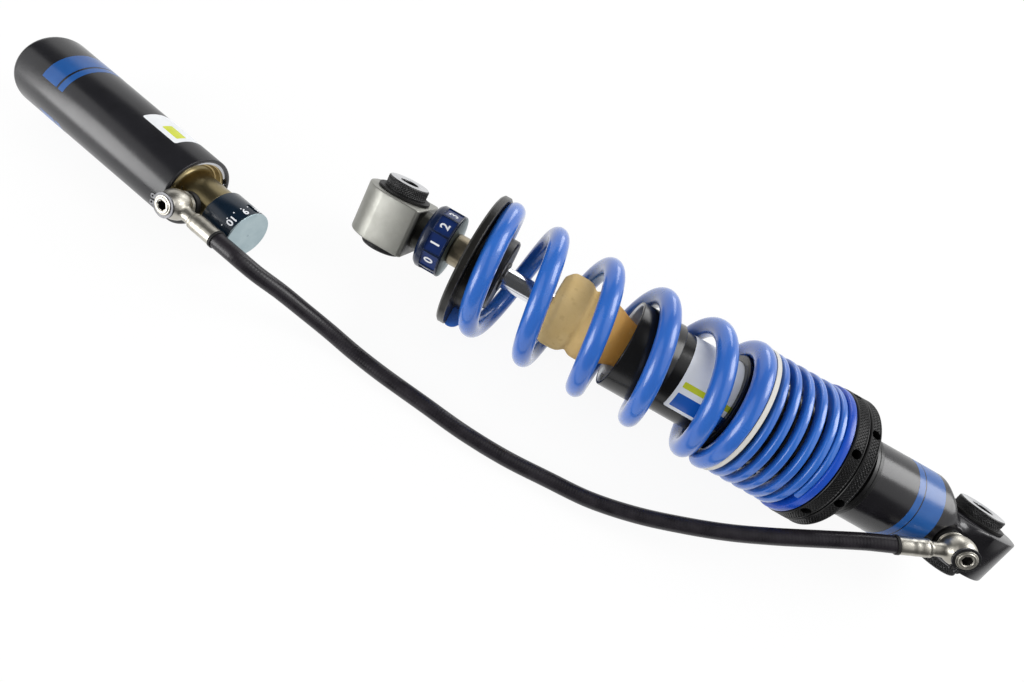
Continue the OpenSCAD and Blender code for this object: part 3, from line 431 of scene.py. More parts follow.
hose_line = smooth_line(hose_route)
hose_sides = 28
hose_rings, lengths, across = [], [0], None
for i, p in enumerate(hose_line):
    along = (hose_line[min(i + 1, len(hose_line) - 1)] - hose_line[max(i - 1, 0)]).normalized()
    across = along.cross(Vector((0, 0, 1))).normalized() if across is None \
        else (across - along * across.dot(along)).normalized()
    up = along.cross(across)
    hose_rings.append([p + hose_diameter / 2 * (math.cos(a) * across + math.sin(a) * up)
                       for a in (math.tau * j / hose_sides for j in range(hose_sides))])
    if i:
        lengths.append(lengths[-1] + (p - hose_line[i - 1]).length)
hose_mesh = from_rings(hose_rings)
run = hose_mesh.attributes.new("run", "FLOAT_VECTOR", "POINT")
run.data.foreach_set("vector", [v for length in lengths for j in range(hose_sides)
                                for v in (length, j / hose_sides, 0)])

# The braid under the cover shows through it as a faint wave along the hose's run
hose_black, tree = blank_material("hose_cover")
where = node(tree, "TexCoord")["Object"]
along = node(tree, "Attribute", {"attribute_name": "run"})["Vector"]
hand = use_group(tree, handling, Place=where, Scale=90, Low=0.24, High=0.36)
braid = node(tree, "TexWave", {"bands_direction": "X"}, Vector=along, Scale=180, Distortion=0.6,
             Detail=1)["Fac"]
fine = node(tree, "TexNoise", Vector=where, Scale=1800, Detail=2)[0]
height = node(tree, "Mix", _0=0.35, _2=braid, _3=fine)[0]
bump = node(tree, "Bump", Strength=1, Distance=0.00003, Height=height)[0]
lit(tree, Base_Color=tinted(tree, hand["Mask"], (24, 22, 26), (38, 35, 40)),
    Roughness=hand["Roughness"], Specular_IOR_Level=0.35, Normal=bump)

hose = piece("hose_tube", hose_mesh, "hose_line", hose_black, "hose_black", "hose")

nickel = metal(
    "satin_nickel", (196, 193, 184), (170, 166, 156), rough=(0.30, 0.42), worn=(225, 223, 216),
    edge=0.0004, depth=0.000012, marks=((0.3, 0.6, 0.7), 3000, 2600, 0.2))
ferrule_outline = [
    (3.3, 14.2), (4.5, 14.2), (4.8, 14.4), (4.85, 15), (4.75, 15.3), (4.7, 15.6), (4.75, 15.9),
    (4.9, 16.1), (5, 16.6), (5, 18.6), (4.94, 19.1), (4.93, 20.6), (5, 21.1), (5, 22.4),
    (4.94, 22.9), (4.93, 24.4), (5, 24.9), (5.02, 28.6), (5.05, 29.4), (5, 29.9), (4.8, 30),
    (3.3, 30)]
fittings = (("strut", strut_fitting), ("reservoir", reservoir_fitting))
ferrules = [
    piece(name + "_ferrule_crimped", lathe(ferrule_outline, place, 64), "hose_line", nickel,
          "nickel", name + "_ferrule")
    for name, place in fittings]

# The banjo's round body with its flats, and the neck that flows out of it into the ferrule
eye_outline = [(5, -6.9), (6.3, -7.2), (7.2, -6.5)] + arc(0, -0.4, 8.55, -42, 44, 14) \
    + [(5.75, 6.3), (5, 6.3)]
neck_outline = [
    (0, 4), (6.9, 4), (6.6, 5.4), (5.6, 6.4), (4.7, 7.1), (4.2, 8), (3.95, 9.2), (3.85, 10.5),
    (3.85, 13.2), (4.05, 13.4), (4.2, 13.8), (4.2, 14.1), (3.2, 14.15), (3.2, 26.9), (0, 26.9)]
lie_along = turn(90, "Y")
for name, place in fittings:
    body = lathe(eye_outline, place @ lie_along, 72)
    neck = lathe(neck_outline, place, 48)
    piece(name + "_banjo_forged", joined(body, neck), "hose_line", nickel, "nickel",
          name + "_banjo", smooth=38)

seal_black = surface(
    "seal_rubber", (20, 20, 20), (34, 33, 33), rough=(0.45, 0.6), specular=0.3, depth=0.00003)
spring_steel = metal(
    "phosphated_steel", (98, 98, 100), (70, 70, 72), rough=(0.3, 0.45), worn=(170, 170, 168))

# The hollow bolts: a shouldered head with a hexagon socket, over a shank that the banjo turns on
socket_floor, socket_lip, socket_radius = 15.7, 19.3, 2.89
bolt_outline = [
    (0, -9.7), (4.5, -9.7), (4.93, -9.3), (4.93, 18.6), (5.35, 18.72), (5.4, 18.9), (5.35, 19.1),
    (5.15, 19.2), (4.6, 19.2), (4.45, 19.3), (4.4, 19.5), (4.15, 19.7), (3.3, 19.7), (2.95, 19.45),
    (2.95, socket_lip), (0, socket_lip)]
hexagon = arc(0, 0, socket_radius, 0, 300, 5)


def taken_off(worked):
    """The finished mesh of an object, which leaves the scene."""
    bpy.context.view_layer.update()
    finished = worked.evaluated_get(bpy.context.evaluated_depsgraph_get())
    mesh = bpy.data.meshes.new_from_object(finished)
    bpy.data.objects.remove(worked)
    return mesh


def cut_by(mesh, *cutters, how="DIFFERENCE"):
    """Cuts closed meshes out of another, or grows it by them with how="UNION"."""
    solid = stood("solid", mesh)
    tools = [stood("tool", cutter) for cutter in cutters]
    for tool in tools:
        cut = solid.modifiers.new("cut", "BOOLEAN")
        cut.operation, cut.solver, cut.object = how, "EXACT", tool
    result = taken_off(solid)
    for tool in tools:
        bpy.data.objects.remove(tool)
    return result


def faces_about(mesh, place):
    """Each face with its distance from a frame's axis, its height on it and how far it looks up."""
    axis = (place.to_3x3() @ Vector((0, 0, 1))).normalized()
    for face in mesh.polygons:
        middle = place.inverted() @ face.center
        yield face, math.hypot(middle.x, middle.y), middle.z, face.normal.dot(axis)


# The inside of each hexagon socket is near black: painted shade for the dark of its deep recess.
socket_shade = surface("socket_painted_shade", (20, 19, 18), (30, 29, 27), rough=(0.5, 0.6), specular=0.2)
for (name, place), body in zip(fittings, ("damper_body", "reservoir")):
    socket = tidied(from_rings([[(x, y, h) for x, y in hexagon] for h in (socket_floor, 20.5)]))
    stand = place @ shift(-11, 0, 0) @ lie_along
    bolt_mesh = tidied(cut_by(lathe(bolt_outline, None, 72), socket), stand)
    piece(name + "_banjo_bolt_socketed", bolt_mesh, body, [nickel, socket_shade], "nickel",
          name + "_banjo_bolt")
    # The socket's inner faces take the painted shade.
    for face, reach, height, _ in faces_about(bolt_mesh, stand):
        if reach < socket_radius + 0.01 and socket_floor - 0.1 < height < socket_lip - 0.05:
            face.material_index = 1

dress(spring_steel, "strut_bolt_circlip", "reservoir_bolt_circlip")
dress(seal_black, "hose_end_rings", "strut_banjo_washer", "reservoir_banjo_washer")
tuple(hose_line[0])
[tuple(p) for p in hose_line]

# ---------- foot of the strut, its printed bands and the lower bearing ----------
# The foot is a steel forging, coated in hard satin black, whose domed shoulder runs smoothly into
# one lug for the lower bolt. Two blue bands are printed round it. Two black knurled spacers,
# ground bare on their ends, turn in the lug's bearing.

body_radius = 25
coat_black = surface(
    "foot_coat", (22, 21, 24), (28, 27, 31), rough=(0.20, 0.27), worn=(110, 108, 112), wear=0.5,
    edge=0.0005, marks=((1, 0, 0), 1500, 1700, 0.1), depth=0.00001)
# Round the foot the points lie closest where the lug's square edges come
foot_angles = [2.5 * k for k in range(13)] + [30.5 + 0.5 * k for k in range(10)]
foot_angles += [36 + 2.25 * k for k in range(24)]
foot_angles += [180 - a for a in foot_angles]
foot_angles += [360 - a for a in foot_angles if a]
foot_angles = sorted(set(foot_angles))


def foot_section(height):
    """The foot's outline at a height: round under the tube, a square-edged block at the lug."""
    shoulder_top, shoulder_run, square_top, square_run = 30, 11.4, 18, 11
    t, low = (min(1, max(0, v)) for v in (
        (shoulder_top - height) / shoulder_run, (square_top - height) / square_run))
    drawn = t * t * (3 - 2 * t)
    wide, thick = body_radius - 3.54 * drawn, body_radius - 11.34 * drawn
    square = 2 + 2.2 * drawn + 22 * low ** 3
    ring = []
    for a in map(math.radians, foot_angles):
        reach = ((abs(math.cos(a)) / wide) ** square
                 + (abs(math.sin(a)) / thick) ** square) ** (-1 / square)
        ring.append((reach * math.cos(a), reach * math.sin(a), height))
    return ring


def mirrored(outline):
    """An outline with its mirror image under it, closed into one."""
    return [(r, -h) for r, h in outline] + outline[::-1]


across_bolt, across_foot = turn(-90, "X"), shift(0, 0, fitting_height) @ turn(90, "Y")
shoulder = tidied(from_rings([
    foot_section(h) for h in [0] + [7 + 0.5 * k for k in range(47)] + [40, 73]]))
lug_end = lathe(mirrored([(0, 13.7), (20.9, 13.7), (21.3, 13.55), (21.5, 13.1)]), across_bolt, 128)
hose_boss = lathe([(0, 1), (9.1, 1), (9.1, 20.6), (8.7, 21), (0, 21)], across_foot, 72)
# Cut out are the bearing's bore, the hose bolt's faced seat and bore, and the tube's seat
foot_mesh = cut_by(
    cut_by(shoulder, lug_end, hose_boss, how="UNION"),
    lathe(mirrored([(0, 18), (14.6, 18), (14.6, 14), (13.5, 13)]), across_bolt, 128),
    lathe([(0, 21), (9.8, 21), (9.8, 30), (0, 30)], across_foot, 72),
    lathe([(0, 11), (5, 11), (5, 22), (0, 22)], across_foot, 48),
    lathe([(0, 31), (22, 31), (22, 43), (23.5, 43), (23.5, 80), (0, 80)], None, 96))
piece("foot_forged", tidied(foot_mesh, strut_frame), "damper_body", coat_black, "foot_black",
      "lower_foot", smooth=28)


def wrapped(radius, low, high, start, end, place, corner=0.4, thick=0.05):
    """A thin printed film wrapped round a tube, with round corners; its underside is sunk in it."""
    sunk = 0.05
    columns = max(6, int(abs(end - start) / 3))
    inset = [corner * (1 - math.cos(math.radians(a))) for a in (90, 67, 45, 22, 0)]
    heights = [low + v for v in inset[::-1]] + [high - v for v in inset]
    sheets = []
    for r in (radius + thick, radius - sunk):
        rows = []
        for h in heights:
            d = min(h - low, high - h)
            trim = 0
            if d < corner:
                trim = corner - math.sqrt(max(0, corner ** 2 - (corner - d) ** 2))
            cut = math.degrees(trim / radius)
            width = end - start - 2 * cut
            angles = [math.radians(start + cut + width * k / columns) for k in range(columns + 1)]
            rows.append([(r * math.cos(a), r * math.sin(a), h) for a in angles])
        sheets.append(rows)
    return tidied(from_rings([upper + lower[::-1] for upper, lower in zip(*sheets)]), place)


def print_finish(name, colour, shade, rough=(0.2, 0.28)):
    """Printing ink or paper: thin, even and only lightly marked."""
    return surface(name, colour, shade, rough=rough, edge=0.0001, depth=0.000006,
                   marks=((1, 0, 0), 900, 1500, 0.2))


band_blue = print_finish("band_print", (26, 76, 140), (32, 86, 152))
for name, low, high in (("foot_band_wide", 33, 44.9), ("foot_band_narrow", 45.5, 49.2)):
    piece(name, wrapped(body_radius, low, high, -106, 198, strut_frame), "damper_body", band_blue,
          "foot_black")

black_zinc = surface(
    "black_zinc", (13, 13, 14), (22, 22, 23), rough=(0.3, 0.42), worn=(120, 120, 122), wear=0.5,
    edge=0.00012)
ground_steel = metal("ground_steel", (205, 206, 208), (180, 181, 184), rough=(0.18, 0.28))


def ridge(x):
    """A V-shaped groove once per unit: 0 on the land, 1 at its bottom."""
    return max(0, 1 - 2.6 * abs(x - round(x)))


def knurl(angle, height, teeth, pitch, depth):
    """A diamond knurl round an axis: 0 on its lands, less by its depth in its grooves."""
    u, v = angle * teeth / math.tau, height / pitch
    return -depth * max(ridge(u + v), ridge(u - v))


# Each spacer's head is knurled and black, and its end face is ground bare
knurl_low, knurl_radius, spacer_end = 15.5, 12.2, 21
spacer_outline = [(5.05, 0.1), (7.25, 0.1), (7.25, 8.05), (12, 8.05), (12, 15.2)] \
    + [(knurl_radius, knurl_low + 0.42 * k) for k in range(12)] \
    + [(11.95, 20.5), (11.5, spacer_end), (6.1, spacer_end), (5.4, 20.7), (5.05, 20.1)]


def spacer_knurl(angle, radius, height):
    """The spacer's knurl, only where its outline is at its widest."""
    return knurl(angle, height - knurl_low, 48, 1.55, 0.5) if radius > knurl_radius - 0.1 else 0


def spacer_pair(end, place):
    """The spacers on both sides of one end's bearing, as one piece that turns with its ball."""
    sides = []
    for side in (1, -1):
        half = lathe(spacer_outline, None, 336, spacer_knurl)
        half.transform(Matrix.Diagonal((1, 1, side, 1)))
        sides.append(half)
    pair = tidied(joined(*sides), place)
    piece(end + "_spacers_knurled", pair, end + "_sleeve", [black_zinc, ground_steel],
          "sleeve_black", end + "_spacers", smooth=24)
    for face, _, height, up in faces_about(pair, place):
        if abs(up) > 0.9 and abs(height) > spacer_end - 0.5:
            face.material_index = 1


spacer_pair("lower", strut_frame @ across_bolt)
for end in ("lower_", "upper_"):
    dress(ground_steel, end + "bearing_race", end + "bearing_ball")
    dress(spring_steel, end + "circlips")
    dress(seal_black, end + "seals")

# ---------- damper tube, its label and the two rings below the collars ----------
# A drawn steel tube, threaded for the collars and coated satin black. A white paper label with
# a plain blue panel and a lime bar is wrapped round its upper end. Two nylon rings lie below
# the collars.

tube_black = surface(
    "tube_coat", (12, 12, 13), (17, 17, 18), rough=(0.2, 0.28), specular=0.4, depth=0.000012)
ring_black = surface("ring_nylon", (14, 14, 15), (22, 22, 23), rough=(0.28, 0.4), specular=0.45)
dress(tube_black, "damper_tube")
dress(ring_black, "collar_stop_ring", "collar_o_ring")

label_white = print_finish("label_paper", (228, 230, 232), (214, 217, 221), (0.35, 0.5))
label_blue = print_finish("label_blue", (14, 80, 166), (20, 88, 176))
label_lime = print_finish("label_lime", (198, 205, 40), (186, 194, 36))
label_thick, ink_thick, ink_corner = 0.06, 0.04, 0.6
piece("tube_label", wrapped(body_radius, 155, 191, -31.7, 124, strut_frame, 1.5, label_thick),
      "damper_body", label_white, "tube_black")
for name, start, end, ink in (("tube_label_panel", -26, -4, label_blue),
                              ("tube_label_bar", 4, 12, label_lime)):
    piece(name, wrapped(body_radius + label_thick, 159, 188.6, start, end, strut_frame, ink_corner,
                        ink_thick), "damper_body", ink, "tube_black")

# ---------- cap, rod guide, seals and piston ----------
# A turned aluminium cap, coated satin black with a bare bore, closes the tube. A guide under it
# carries the rod, with a seal and a wiper, and the piston with its shims works in the tube below.

cap_black = surface(
    "cap_coat", (14, 14, 15), (20, 20, 21), rough=(0.2, 0.28), specular=0.45, worn=(70, 70, 72),
    depth=0.000012)
aluminium = metal("machined_aluminium", (200, 202, 204), (182, 184, 188), rough=(0.25, 0.4))
band_tan = surface("bearing_tape", (150, 128, 88), (128, 108, 72), rough=(0.5, 0.6))
cap_floor, cap_top = 217, 226
cap_outline = [
    (body_radius, 198), (26.6, 198), (27.05, 198.15), (27.3, 198.6), (27.3, 225.2),
    (27.15, 225.65), (26.8, 225.95), (26.4, cap_top), (25.7, 225.9), (25.2, 225.5), (24.95, 224.9),
    (24.75, 224.2), (24.7, 218.2), (24.4, 217.3), (23.6, cap_floor), (10.15, cap_floor),
    (10.15, 214), (body_radius, 214)]
cap_mesh = lathe(cap_outline, strut_frame, 128)
piece("cap_turned", cap_mesh, "damper_body", [cap_black, aluminium], "cap_black", "body_cap")
for face, reach, height, _ in faces_about(cap_mesh, strut_frame):
    if 23.9 < reach < 25.6 and cap_floor + 0.1 < height < cap_top - 0.2:
        face.material_index = 1
dress(aluminium, "rod_guide", "piston")
dress(seal_black, "rod_seal", "rod_wiper")
dress(spring_steel, "guide_snap_ring", "shim_stacks", "piston_nut")
dress(band_tan, "piston_band")

# ---------- bump stop ----------
# A stop moulded of cream cellular foam, loose on the rod: a tall barrel, a smaller bulge and a
# tapered tail that stands in the cap.

stop_low, stop_high = 217.3, 272.3
stop_outline = [
    (7, stop_low), (12.3, stop_low), (12.9, 218), (13.6, 222), (15, 227), (16.9, 231.5),
    (18.2, 235), (18.7, 236.8)]
stop_outline += [(18.9 + 2.5 * math.sin(a), 237.5 + 8 * (1 - math.cos(a)) * 0.9)
                 for a in map(math.radians, (15, 35, 55, 75, 90))]
stop_outline += [
    (21.4, 247), (21.1, 248.8), (20.3, 250.4), (19.6, 251.4), (19.4, 252.4), (19.9, 253.4),
    (21.2, 254.8), (22.2, 256.6), (22.7, 258.8), (22.8, 261), (22.8, 266), (22.4, 267.6),
    (21.6, 269), (19.4, 271), (18.2, 271.9), (17.2, stop_high), (7, stop_high)]


def rounded_outline(outline):
    """Cuts an outline's corners twice, but keeps its first and last points, the ends of a bore."""
    for _ in range(2):
        finer = [((1 - t) * p[0] + t * q[0], (1 - t) * p[1] + t * q[1])
                 for p, q in zip(outline, outline[1:]) for t in (0.25, 0.75)]
        outline = [outline[0]] + finer + [outline[-1]]
    return outline


# The foam darkens towards its tail, with pores and flecks all over
foam, tree = blank_material("cellular_foam")
where = node(tree, "TexCoord")["Object"]
hand = use_group(tree, handling, Place=where, Scale=45, Low=0.7, High=0.85)
pores = node(tree, "TexVoronoi", Vector=where, Scale=1100)["Distance"]
skin = node(tree, "TexNoise", Vector=where, Scale=260, Detail=5)[0]
height = node(tree, "Mix", _0=0.5, _2=pores, _3=skin)[0]
bump = node(tree, "Bump", Strength=1, Distance=0.00016, Height=height)[0]
to_tail = ranged(tree, node(tree, "SeparateXYZ", _0=where)["X"], -0.252, -0.228)
speckled = ranged(tree, skin, 0.40, 0.30, To_Max=0.45)
cream = tinted(tree, hand["Mask"], (226, 197, 138), (212, 180, 118))
amber = tinted(tree, to_tail, cream, (196, 142, 66))
lit(tree, Base_Color=tinted(tree, speckled, amber, (196, 162, 104)),
    Roughness=hand["Roughness"], Specular_IOR_Level=0.25, Normal=bump)

bump_stop = piece("foam_bump_stop", lathe(rounded_outline(stop_outline), strut_frame, 96),
                  "damper_body", foam, "foam_cream", "bump_stop", smooth=60)
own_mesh(bump_stop)

# ---------- spring collar, lock collar and slip ring ----------
# Two black anodised collars run on the thread, knurled for the hand and drilled for a spanner.
# A blue coated ring lies between the spring collar and the helper spring.

collar_radius = 41


def knurled_collar(low, high, hole_turn):
    """A collar between two heights, with its knurl and six spanner holes round it."""
    start, end = low + 0.9, high - 0.9
    rows, teeth = 18, 132
    outline = [(25.05, low), (39.9, low), (40.6, low + 0.2), (40.9, low + 0.5)]
    outline += [(collar_radius, start + (end - start) * k / rows) for k in range(rows + 1)]
    outline += [(40.9, high - 0.5), (40.6, high - 0.2), (39.9, high), (25.05, high)]

    def rough(angle, radius, height):
        if radius < collar_radius - 0.05 or not start < height < end:
            return 0
        return knurl(angle, height - start, teeth, 1.9, 0.45)

    body = lathe(outline, None, teeth * 6, rough)
    holes = []
    for k in range(6):
        place = turn(hole_turn + 60 * k, "Z") @ shift(33, 0, (low + high) / 2) @ turn(90, "Y")
        holes.append(lathe([(0, 0), (2.6, 0), (2.6, 9.5), (0, 9.5)], place, 32))
    return tidied(cut_by(body, joined(*holes)), strut_frame)


anodised = surface(
    "black_anodised", (8, 8, 9), (12, 12, 13), rough=(0.3, 0.42), specular=0.3, worn=(60, 60, 64),
    wear=0.5, edge=0.0001)
for name, body, low, high, hole_turn in (("spring_collar", "collar", 94.5, 102, 28),
                                         ("lock_collar", "locking_collar", 87.5, 94.2, 50)):
    piece(name + "_knurled", knurled_collar(low, high, hole_turn), body, anodised,
          "anodised_black", name, smooth=25)
slip_blue = surface(
    "slip_ring_coat", (16, 72, 176), (14, 64, 166), rough=(0.22, 0.3), specular=0.45,
    marks=((1, 0, 0), 1800, 2000, 0.7))
slip_outline = [
    (25.3, 102.3), (39.9, 102.3), (40.5, 102.7), (40.6, 103.2), (40.6, 105.6), (40.3, 106.1),
    (39.7, 106.4), (25.3, 106.4)]
piece("slip_ring_coated", lathe(slip_outline, strut_frame, 128), "slip_ring", slip_blue,
      "slip_blue", "collar_slip_ring")

# ---------- helper spring ----------
# A soft spring of flat steel wire, blue powder coated, its end turns closed and ground flat. It
# stands on the slip ring, under the coupler.


def eased(t, middle):
    """A slope that grows smoothly from 0 to 1 about a middle, summed up to t."""
    ease = 0.35
    if t <= middle - ease:
        return 0
    if t >= middle + ease:
        return t - middle
    return (t - middle + ease) ** 2 / (4 * ease)


def wound(low, high, turns, closed, mean_radius, start, section, half):
    """Winds a wire's section of (radial, axial) points into a spring with closed, ground ends.

    Closed gives the closed turns at each end, and half how high the wire's middle starts.
    """
    closed_pitch, steps = 4.5, 60

    def opened(t):
        return eased(t, closed[0]) - eased(t, turns - closed[1])

    open_rise = high - low - 2 * half - closed_pitch * turns
    count = round(turns * steps)
    rings = []
    for i in range(count + 1):
        t = turns * i / count
        rise = low + half + closed_pitch * t + open_rise * opened(t) / opened(turns)
        a = math.radians(start + 360 * t)
        rings.append([((mean_radius + r) * math.cos(a), (mean_radius + r) * math.sin(a),
                       min(max(rise + h, low), high)) for r, h in section])
    return tidied(from_rings(rings), strut_frame)


def rounded_bar(deep, thick):
    """The section of a flat wire with well rounded corners."""
    points = []
    for k in range(20):
        a = math.tau * (k + 0.5) / 20
        c, s = math.cos(a), math.sin(a)
        points.append((deep / 2 * math.copysign(abs(c) ** 0.5, c),
                       thick / 2 * math.copysign(abs(s) ** 0.5, s)))
    return points


spring_blue = surface(
    "spring_powder_coat", (40, 100, 186), (32, 90, 176), rough=(0.24, 0.34), coat=0.6,
    marks=((1, 0, 0), 200, 700, 0), depth=0.00004, patch=35, edge=0.0002)
helper = piece("helper_spring_wound", wound(
    106.7, 147.7, 5.8, (1.25, 0.6), 39.6 - 3.2, -26, rounded_bar(6.4, 4), 0.8),
    "damper_body", spring_blue, "spring_blue", "helper_spring", smooth=50)
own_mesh(helper)

# ---------- coupler and its pale ring ----------
# A black nylon coupler, slid over the tube, centres both springs. A pale nylon ring is pressed
# round its flange and keeps the springs' ends apart.

coupler_black = surface(
    "coupler_nylon", (12, 12, 13), (18, 18, 19), rough=(0.22, 0.32), specular=0.45,
    worn=(80, 80, 82))
ring_pale = surface(
    "pale_nylon", (206, 204, 198), (192, 190, 184), rough=(0.4, 0.55), specular=0.4)
dress(coupler_black, "spring_coupler")
dress(ring_pale, "coupler_ring")

# ---------- main spring ----------
# Six turns of round 11.8 mm steel wire, shot peened and blue powder coated, with closed and
# ground ends. It stands on the coupler and carries the upper seat.

wire_radius = 5.9
wire = arc(0, 0, wire_radius, 0, 360 * 27 / 28, 27)
main = piece("main_spring_wound", wound(
    150.9, 320.1, 6, (0.75, 0.75), 35.1, -71.5, wire, wire_radius / 3),
    "coupler", spring_blue, "spring_blue", "main_spring", smooth=50)
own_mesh(main)

# ---------- piston rod and needle ----------
# The rod is of steel, hard chromed and ground, and screwed into the piston. It is hollow for
# the adjuster's needle.

chrome = metal(
    "hard_chrome", (232, 234, 238), (220, 222, 228), rough=(0.12, 0.17), worn=(240, 240, 242),
    depth=0.000002, marks=((1, 0, 0), 5000, 4000, 0.6))
dress(chrome, "piston_rod", "rebound_needle")

# ---------- upper spring seat, its circlip and the stem ----------
# The seat is turned from aluminium and hard anodised to a brown grey; a circlip holds it on
# the rod. The nickel stem above it carries the eye.

seat_brown = surface(
    "hard_anodised", (24, 23, 20), (18, 17, 15), rough=(0.26, 0.36), specular=0.45,
    worn=(150, 146, 138), wear=0.6, marks=((1, 0, 0), 2600, 2200, 0.7), depth=0.00003)
stem_nickel = metal(
    "stem_plate", (160, 150, 130), (140, 130, 110), rough=(0.28, 0.4),
    marks=((1, 0, 0), 2600, 2200, 0.7))
dress(seat_brown, "upper_spring_seat")
dress(spring_steel, "seat_circlip")
dress(stem_nickel, "adjuster_stem")

# ---------- rebound wheel ----------
# A blue anodised wheel with ten sunk flats, one painted digit on each, and a bare face towards
# the seat. Turning it moves the needle in the rod, ten clicks in all.

wheel_low, wheel_high, wheel_radius = 337.7, 353.7, 19.4
wheel_outline = [
    (9.05, wheel_low), (18.3, wheel_low), (18.9, wheel_low + 0.15), (19.25, wheel_low + 0.45),
    (wheel_radius, wheel_low + 0.9), (wheel_radius, wheel_high - 1.95), (19.25, wheel_high - 1.6),
    (18.3, wheel_high - 0.3), (18, wheel_high), (9.05, wheel_high)]
panel_middle, panel_turn = wheel_low + 6.45, 4.5
panel_depth = wheel_radius * math.cos(math.radians(18)) - 0.4


def rounded_block(width, length, height, corner):
    """A block whose upright corners are rounded, standing on its middle."""
    loop = []
    for sx, sy, start in ((1, 1, 0), (-1, 1, 90), (-1, -1, 180), (1, -1, 270)):
        for k in range(5):
            a = math.radians(start + 22.5 * k)
            loop.append((sx * (width / 2 - corner) + corner * math.cos(a),
                         sy * (length / 2 - corner) + corner * math.sin(a)))
    return tidied(from_rings([[(x, y, h) for x, y in loop] for h in (0, height)]))


panels = []
for k in range(10):
    block = rounded_block(10.7, 10, 5, 0.6)
    block.transform(turn(36 * k + panel_turn, "Z") @ shift(panel_depth, 0, panel_middle)
                    @ turn(90, "Y") @ turn(90, "Z"))
    panels.append(block)
wheel_mesh = tidied(cut_by(lathe(wheel_outline, None, 160), joined(*panels)), strut_frame)
wheel_blue = surface(
    "wheel_anodised", (4, 20, 46), (6, 24, 56), rough=(0.2, 0.28), worn=(90, 120, 180), wear=0.5,
    edge=0.00025)
panel_blue = surface("wheel_panel", (6, 34, 88), (8, 40, 98), rough=(0.2, 0.28), edge=0.0002)
bare_face = metal(
    "bare_face", (176, 192, 196), (160, 178, 184), rough=(0.36, 0.5),
    marks=((0, 1, 0), 900, 2600, 0), depth=0.00001)
piece("rebound_wheel_panelled", wheel_mesh, "rebound_adjuster",
      [wheel_blue, panel_blue, bare_face], "wheel_blue", "rebound_wheel", smooth=28)
for face, reach, height, up in faces_about(wheel_mesh, strut_frame):
    outward = face.normal.dot(Vector((0, face.center.y, face.center.z)).normalized())
    if abs(reach - panel_depth) < 0.5 and outward > 0.95 and abs(height - panel_middle) < 5.3 \
            and face.area > 1e-6:
        face.material_index = 1
    elif up < -0.9 and height < wheel_low + 0.1:
        face.material_index = 2

digit_white = print_finish("digit_paint", (232, 234, 238), (220, 223, 228))


def digits(name, text, size, body, mapping, slot):
    """Painted digits, cut as thin solid shapes and laid on their surface by mapping."""
    letters = bpy.data.curves.new(name, "FONT")
    letters.body, letters.size, letters.extrude, letters.offset = text, size, 0.5, 0.022 * size
    letters.align_x = letters.align_y = "CENTER"
    letters.resolution_u = 4
    mesh = taken_off(stood(name, letters))
    for v in mesh.vertices:
        v.co = mapping(*v.co)
    piece(name, tidied(mesh, weld=1e-7, thinnest=0), body, digit_white, slot)


for k in range(10):
    stand = strut_frame @ turn(36 * k + panel_turn, "Z")
    digits("rebound_digit_%d" % k, str((k + 1) % 10), 7.6, "rebound_adjuster",
           lambda x, y, z, stand=stand: stand @ Vector(
               (panel_depth + 0.02 + 0.1 * z, x, panel_middle + y)),
           "wheel_blue")

# ---------- upper eye, its bearing and spacers ----------
# The eye is milled from steel, bead blasted and plated: a round half, a square half and a short
# neck on the stem, dark steel as painted shade for the dark between the eye and the wheel. Its
# bearing's spacers are black, with knurled heads and bare end faces.

satin_steel = metal(
    "blasted_steel", (158, 158, 152), (144, 144, 138), rough=(0.42, 0.54), worn=(225, 224, 220),
    wear=0.6, edge=0.0005, marks=((0, 0.7071, 0.7071), 1800, 1500, 0.15), depth=0.00003)
eye_to_eye = 376.1
upper_bolt = strut_frame @ shift(0, 0, eye_to_eye) @ across_bolt
eye_radius, eye_flat, eye_corner = 20.2, 19.5, 2.5
eye_turn = math.degrees(math.acos(eye_flat / eye_radius))
eye_loop = arc(0, 0, eye_radius, 180 + eye_turn, 360 - eye_turn, 40) \
    + arc(eye_flat - eye_corner, 14.6, eye_corner, 0, 90, 8) \
    + arc(eye_corner - eye_flat, 14.6, eye_corner, 90, 180, 8)


def drawn_in(loop, by):
    """Moves a closed outline inward."""
    moved = []
    for k, p in enumerate(loop):
        q, r = loop[k - 1], loop[(k + 1) % len(loop)]
        side = Vector((r[0] - q[0], r[1] - q[1])).normalized()
        moved.append((p[0] - side.y * by, p[1] + side.x * by))
    return moved


eye_rings = [[(x, y, h) for x, y in drawn_in(eye_loop, by)] for h, by in (
    (-15.9, 0.6), (-15.72, 0.25), (-15.4, 0.06), (-15, 0),
    (12, 0), (12.4, 0.06), (12.72, 0.25), (12.9, 0.6))]
bore = lathe([(0, -17), (14.3, -17), (14.3, -15.6), (13.55, -14.9), (13.55, 11.9), (14.3, 12.6),
              (14.3, 14), (0, 14)], None, 96)
eye_bored = tidied(cut_by(tidied(from_rings(eye_rings)), bore), upper_bolt)
neck_mesh = lathe([(6.5, 337.5), (9, 337.5), (9, 354), (11.2, 354), (11.8, 354.3),
                   (12, 354.8), (12, 362), (6.5, 362)], strut_frame, 96)
# The neck is a dark copy of the eye's steel: painted shade for the dark gap between eye and wheel.
neck_shaded = metal("neck_painted_shade", (66, 66, 62), (48, 48, 45), rough=(0.3, 0.42), depth=0.00001)
eye_mesh = joined(eye_bored, neck_mesh)
piece("upper_eye_milled", eye_mesh, "rod", [satin_steel, neck_shaded], "satin_steel", "upper_eye")
# Faces of the neck, below the eye and close to the axis, take the painted shade.
for face, reach, height, _ in faces_about(eye_mesh, strut_frame):
    if height < 361 and reach < 12.1:
        face.material_index = 1
spacer_pair("upper", upper_bolt)

# ---------- reservoir, its end cap, snap ring and inside ----------
# The reservoir is an extruded aluminium tube with a closed round end, coated satin grey. A tan
# anodised cap is held in its mouth by a snap ring. Two blue bands are printed on it, and a
# white label with a lime bar is stuck on.

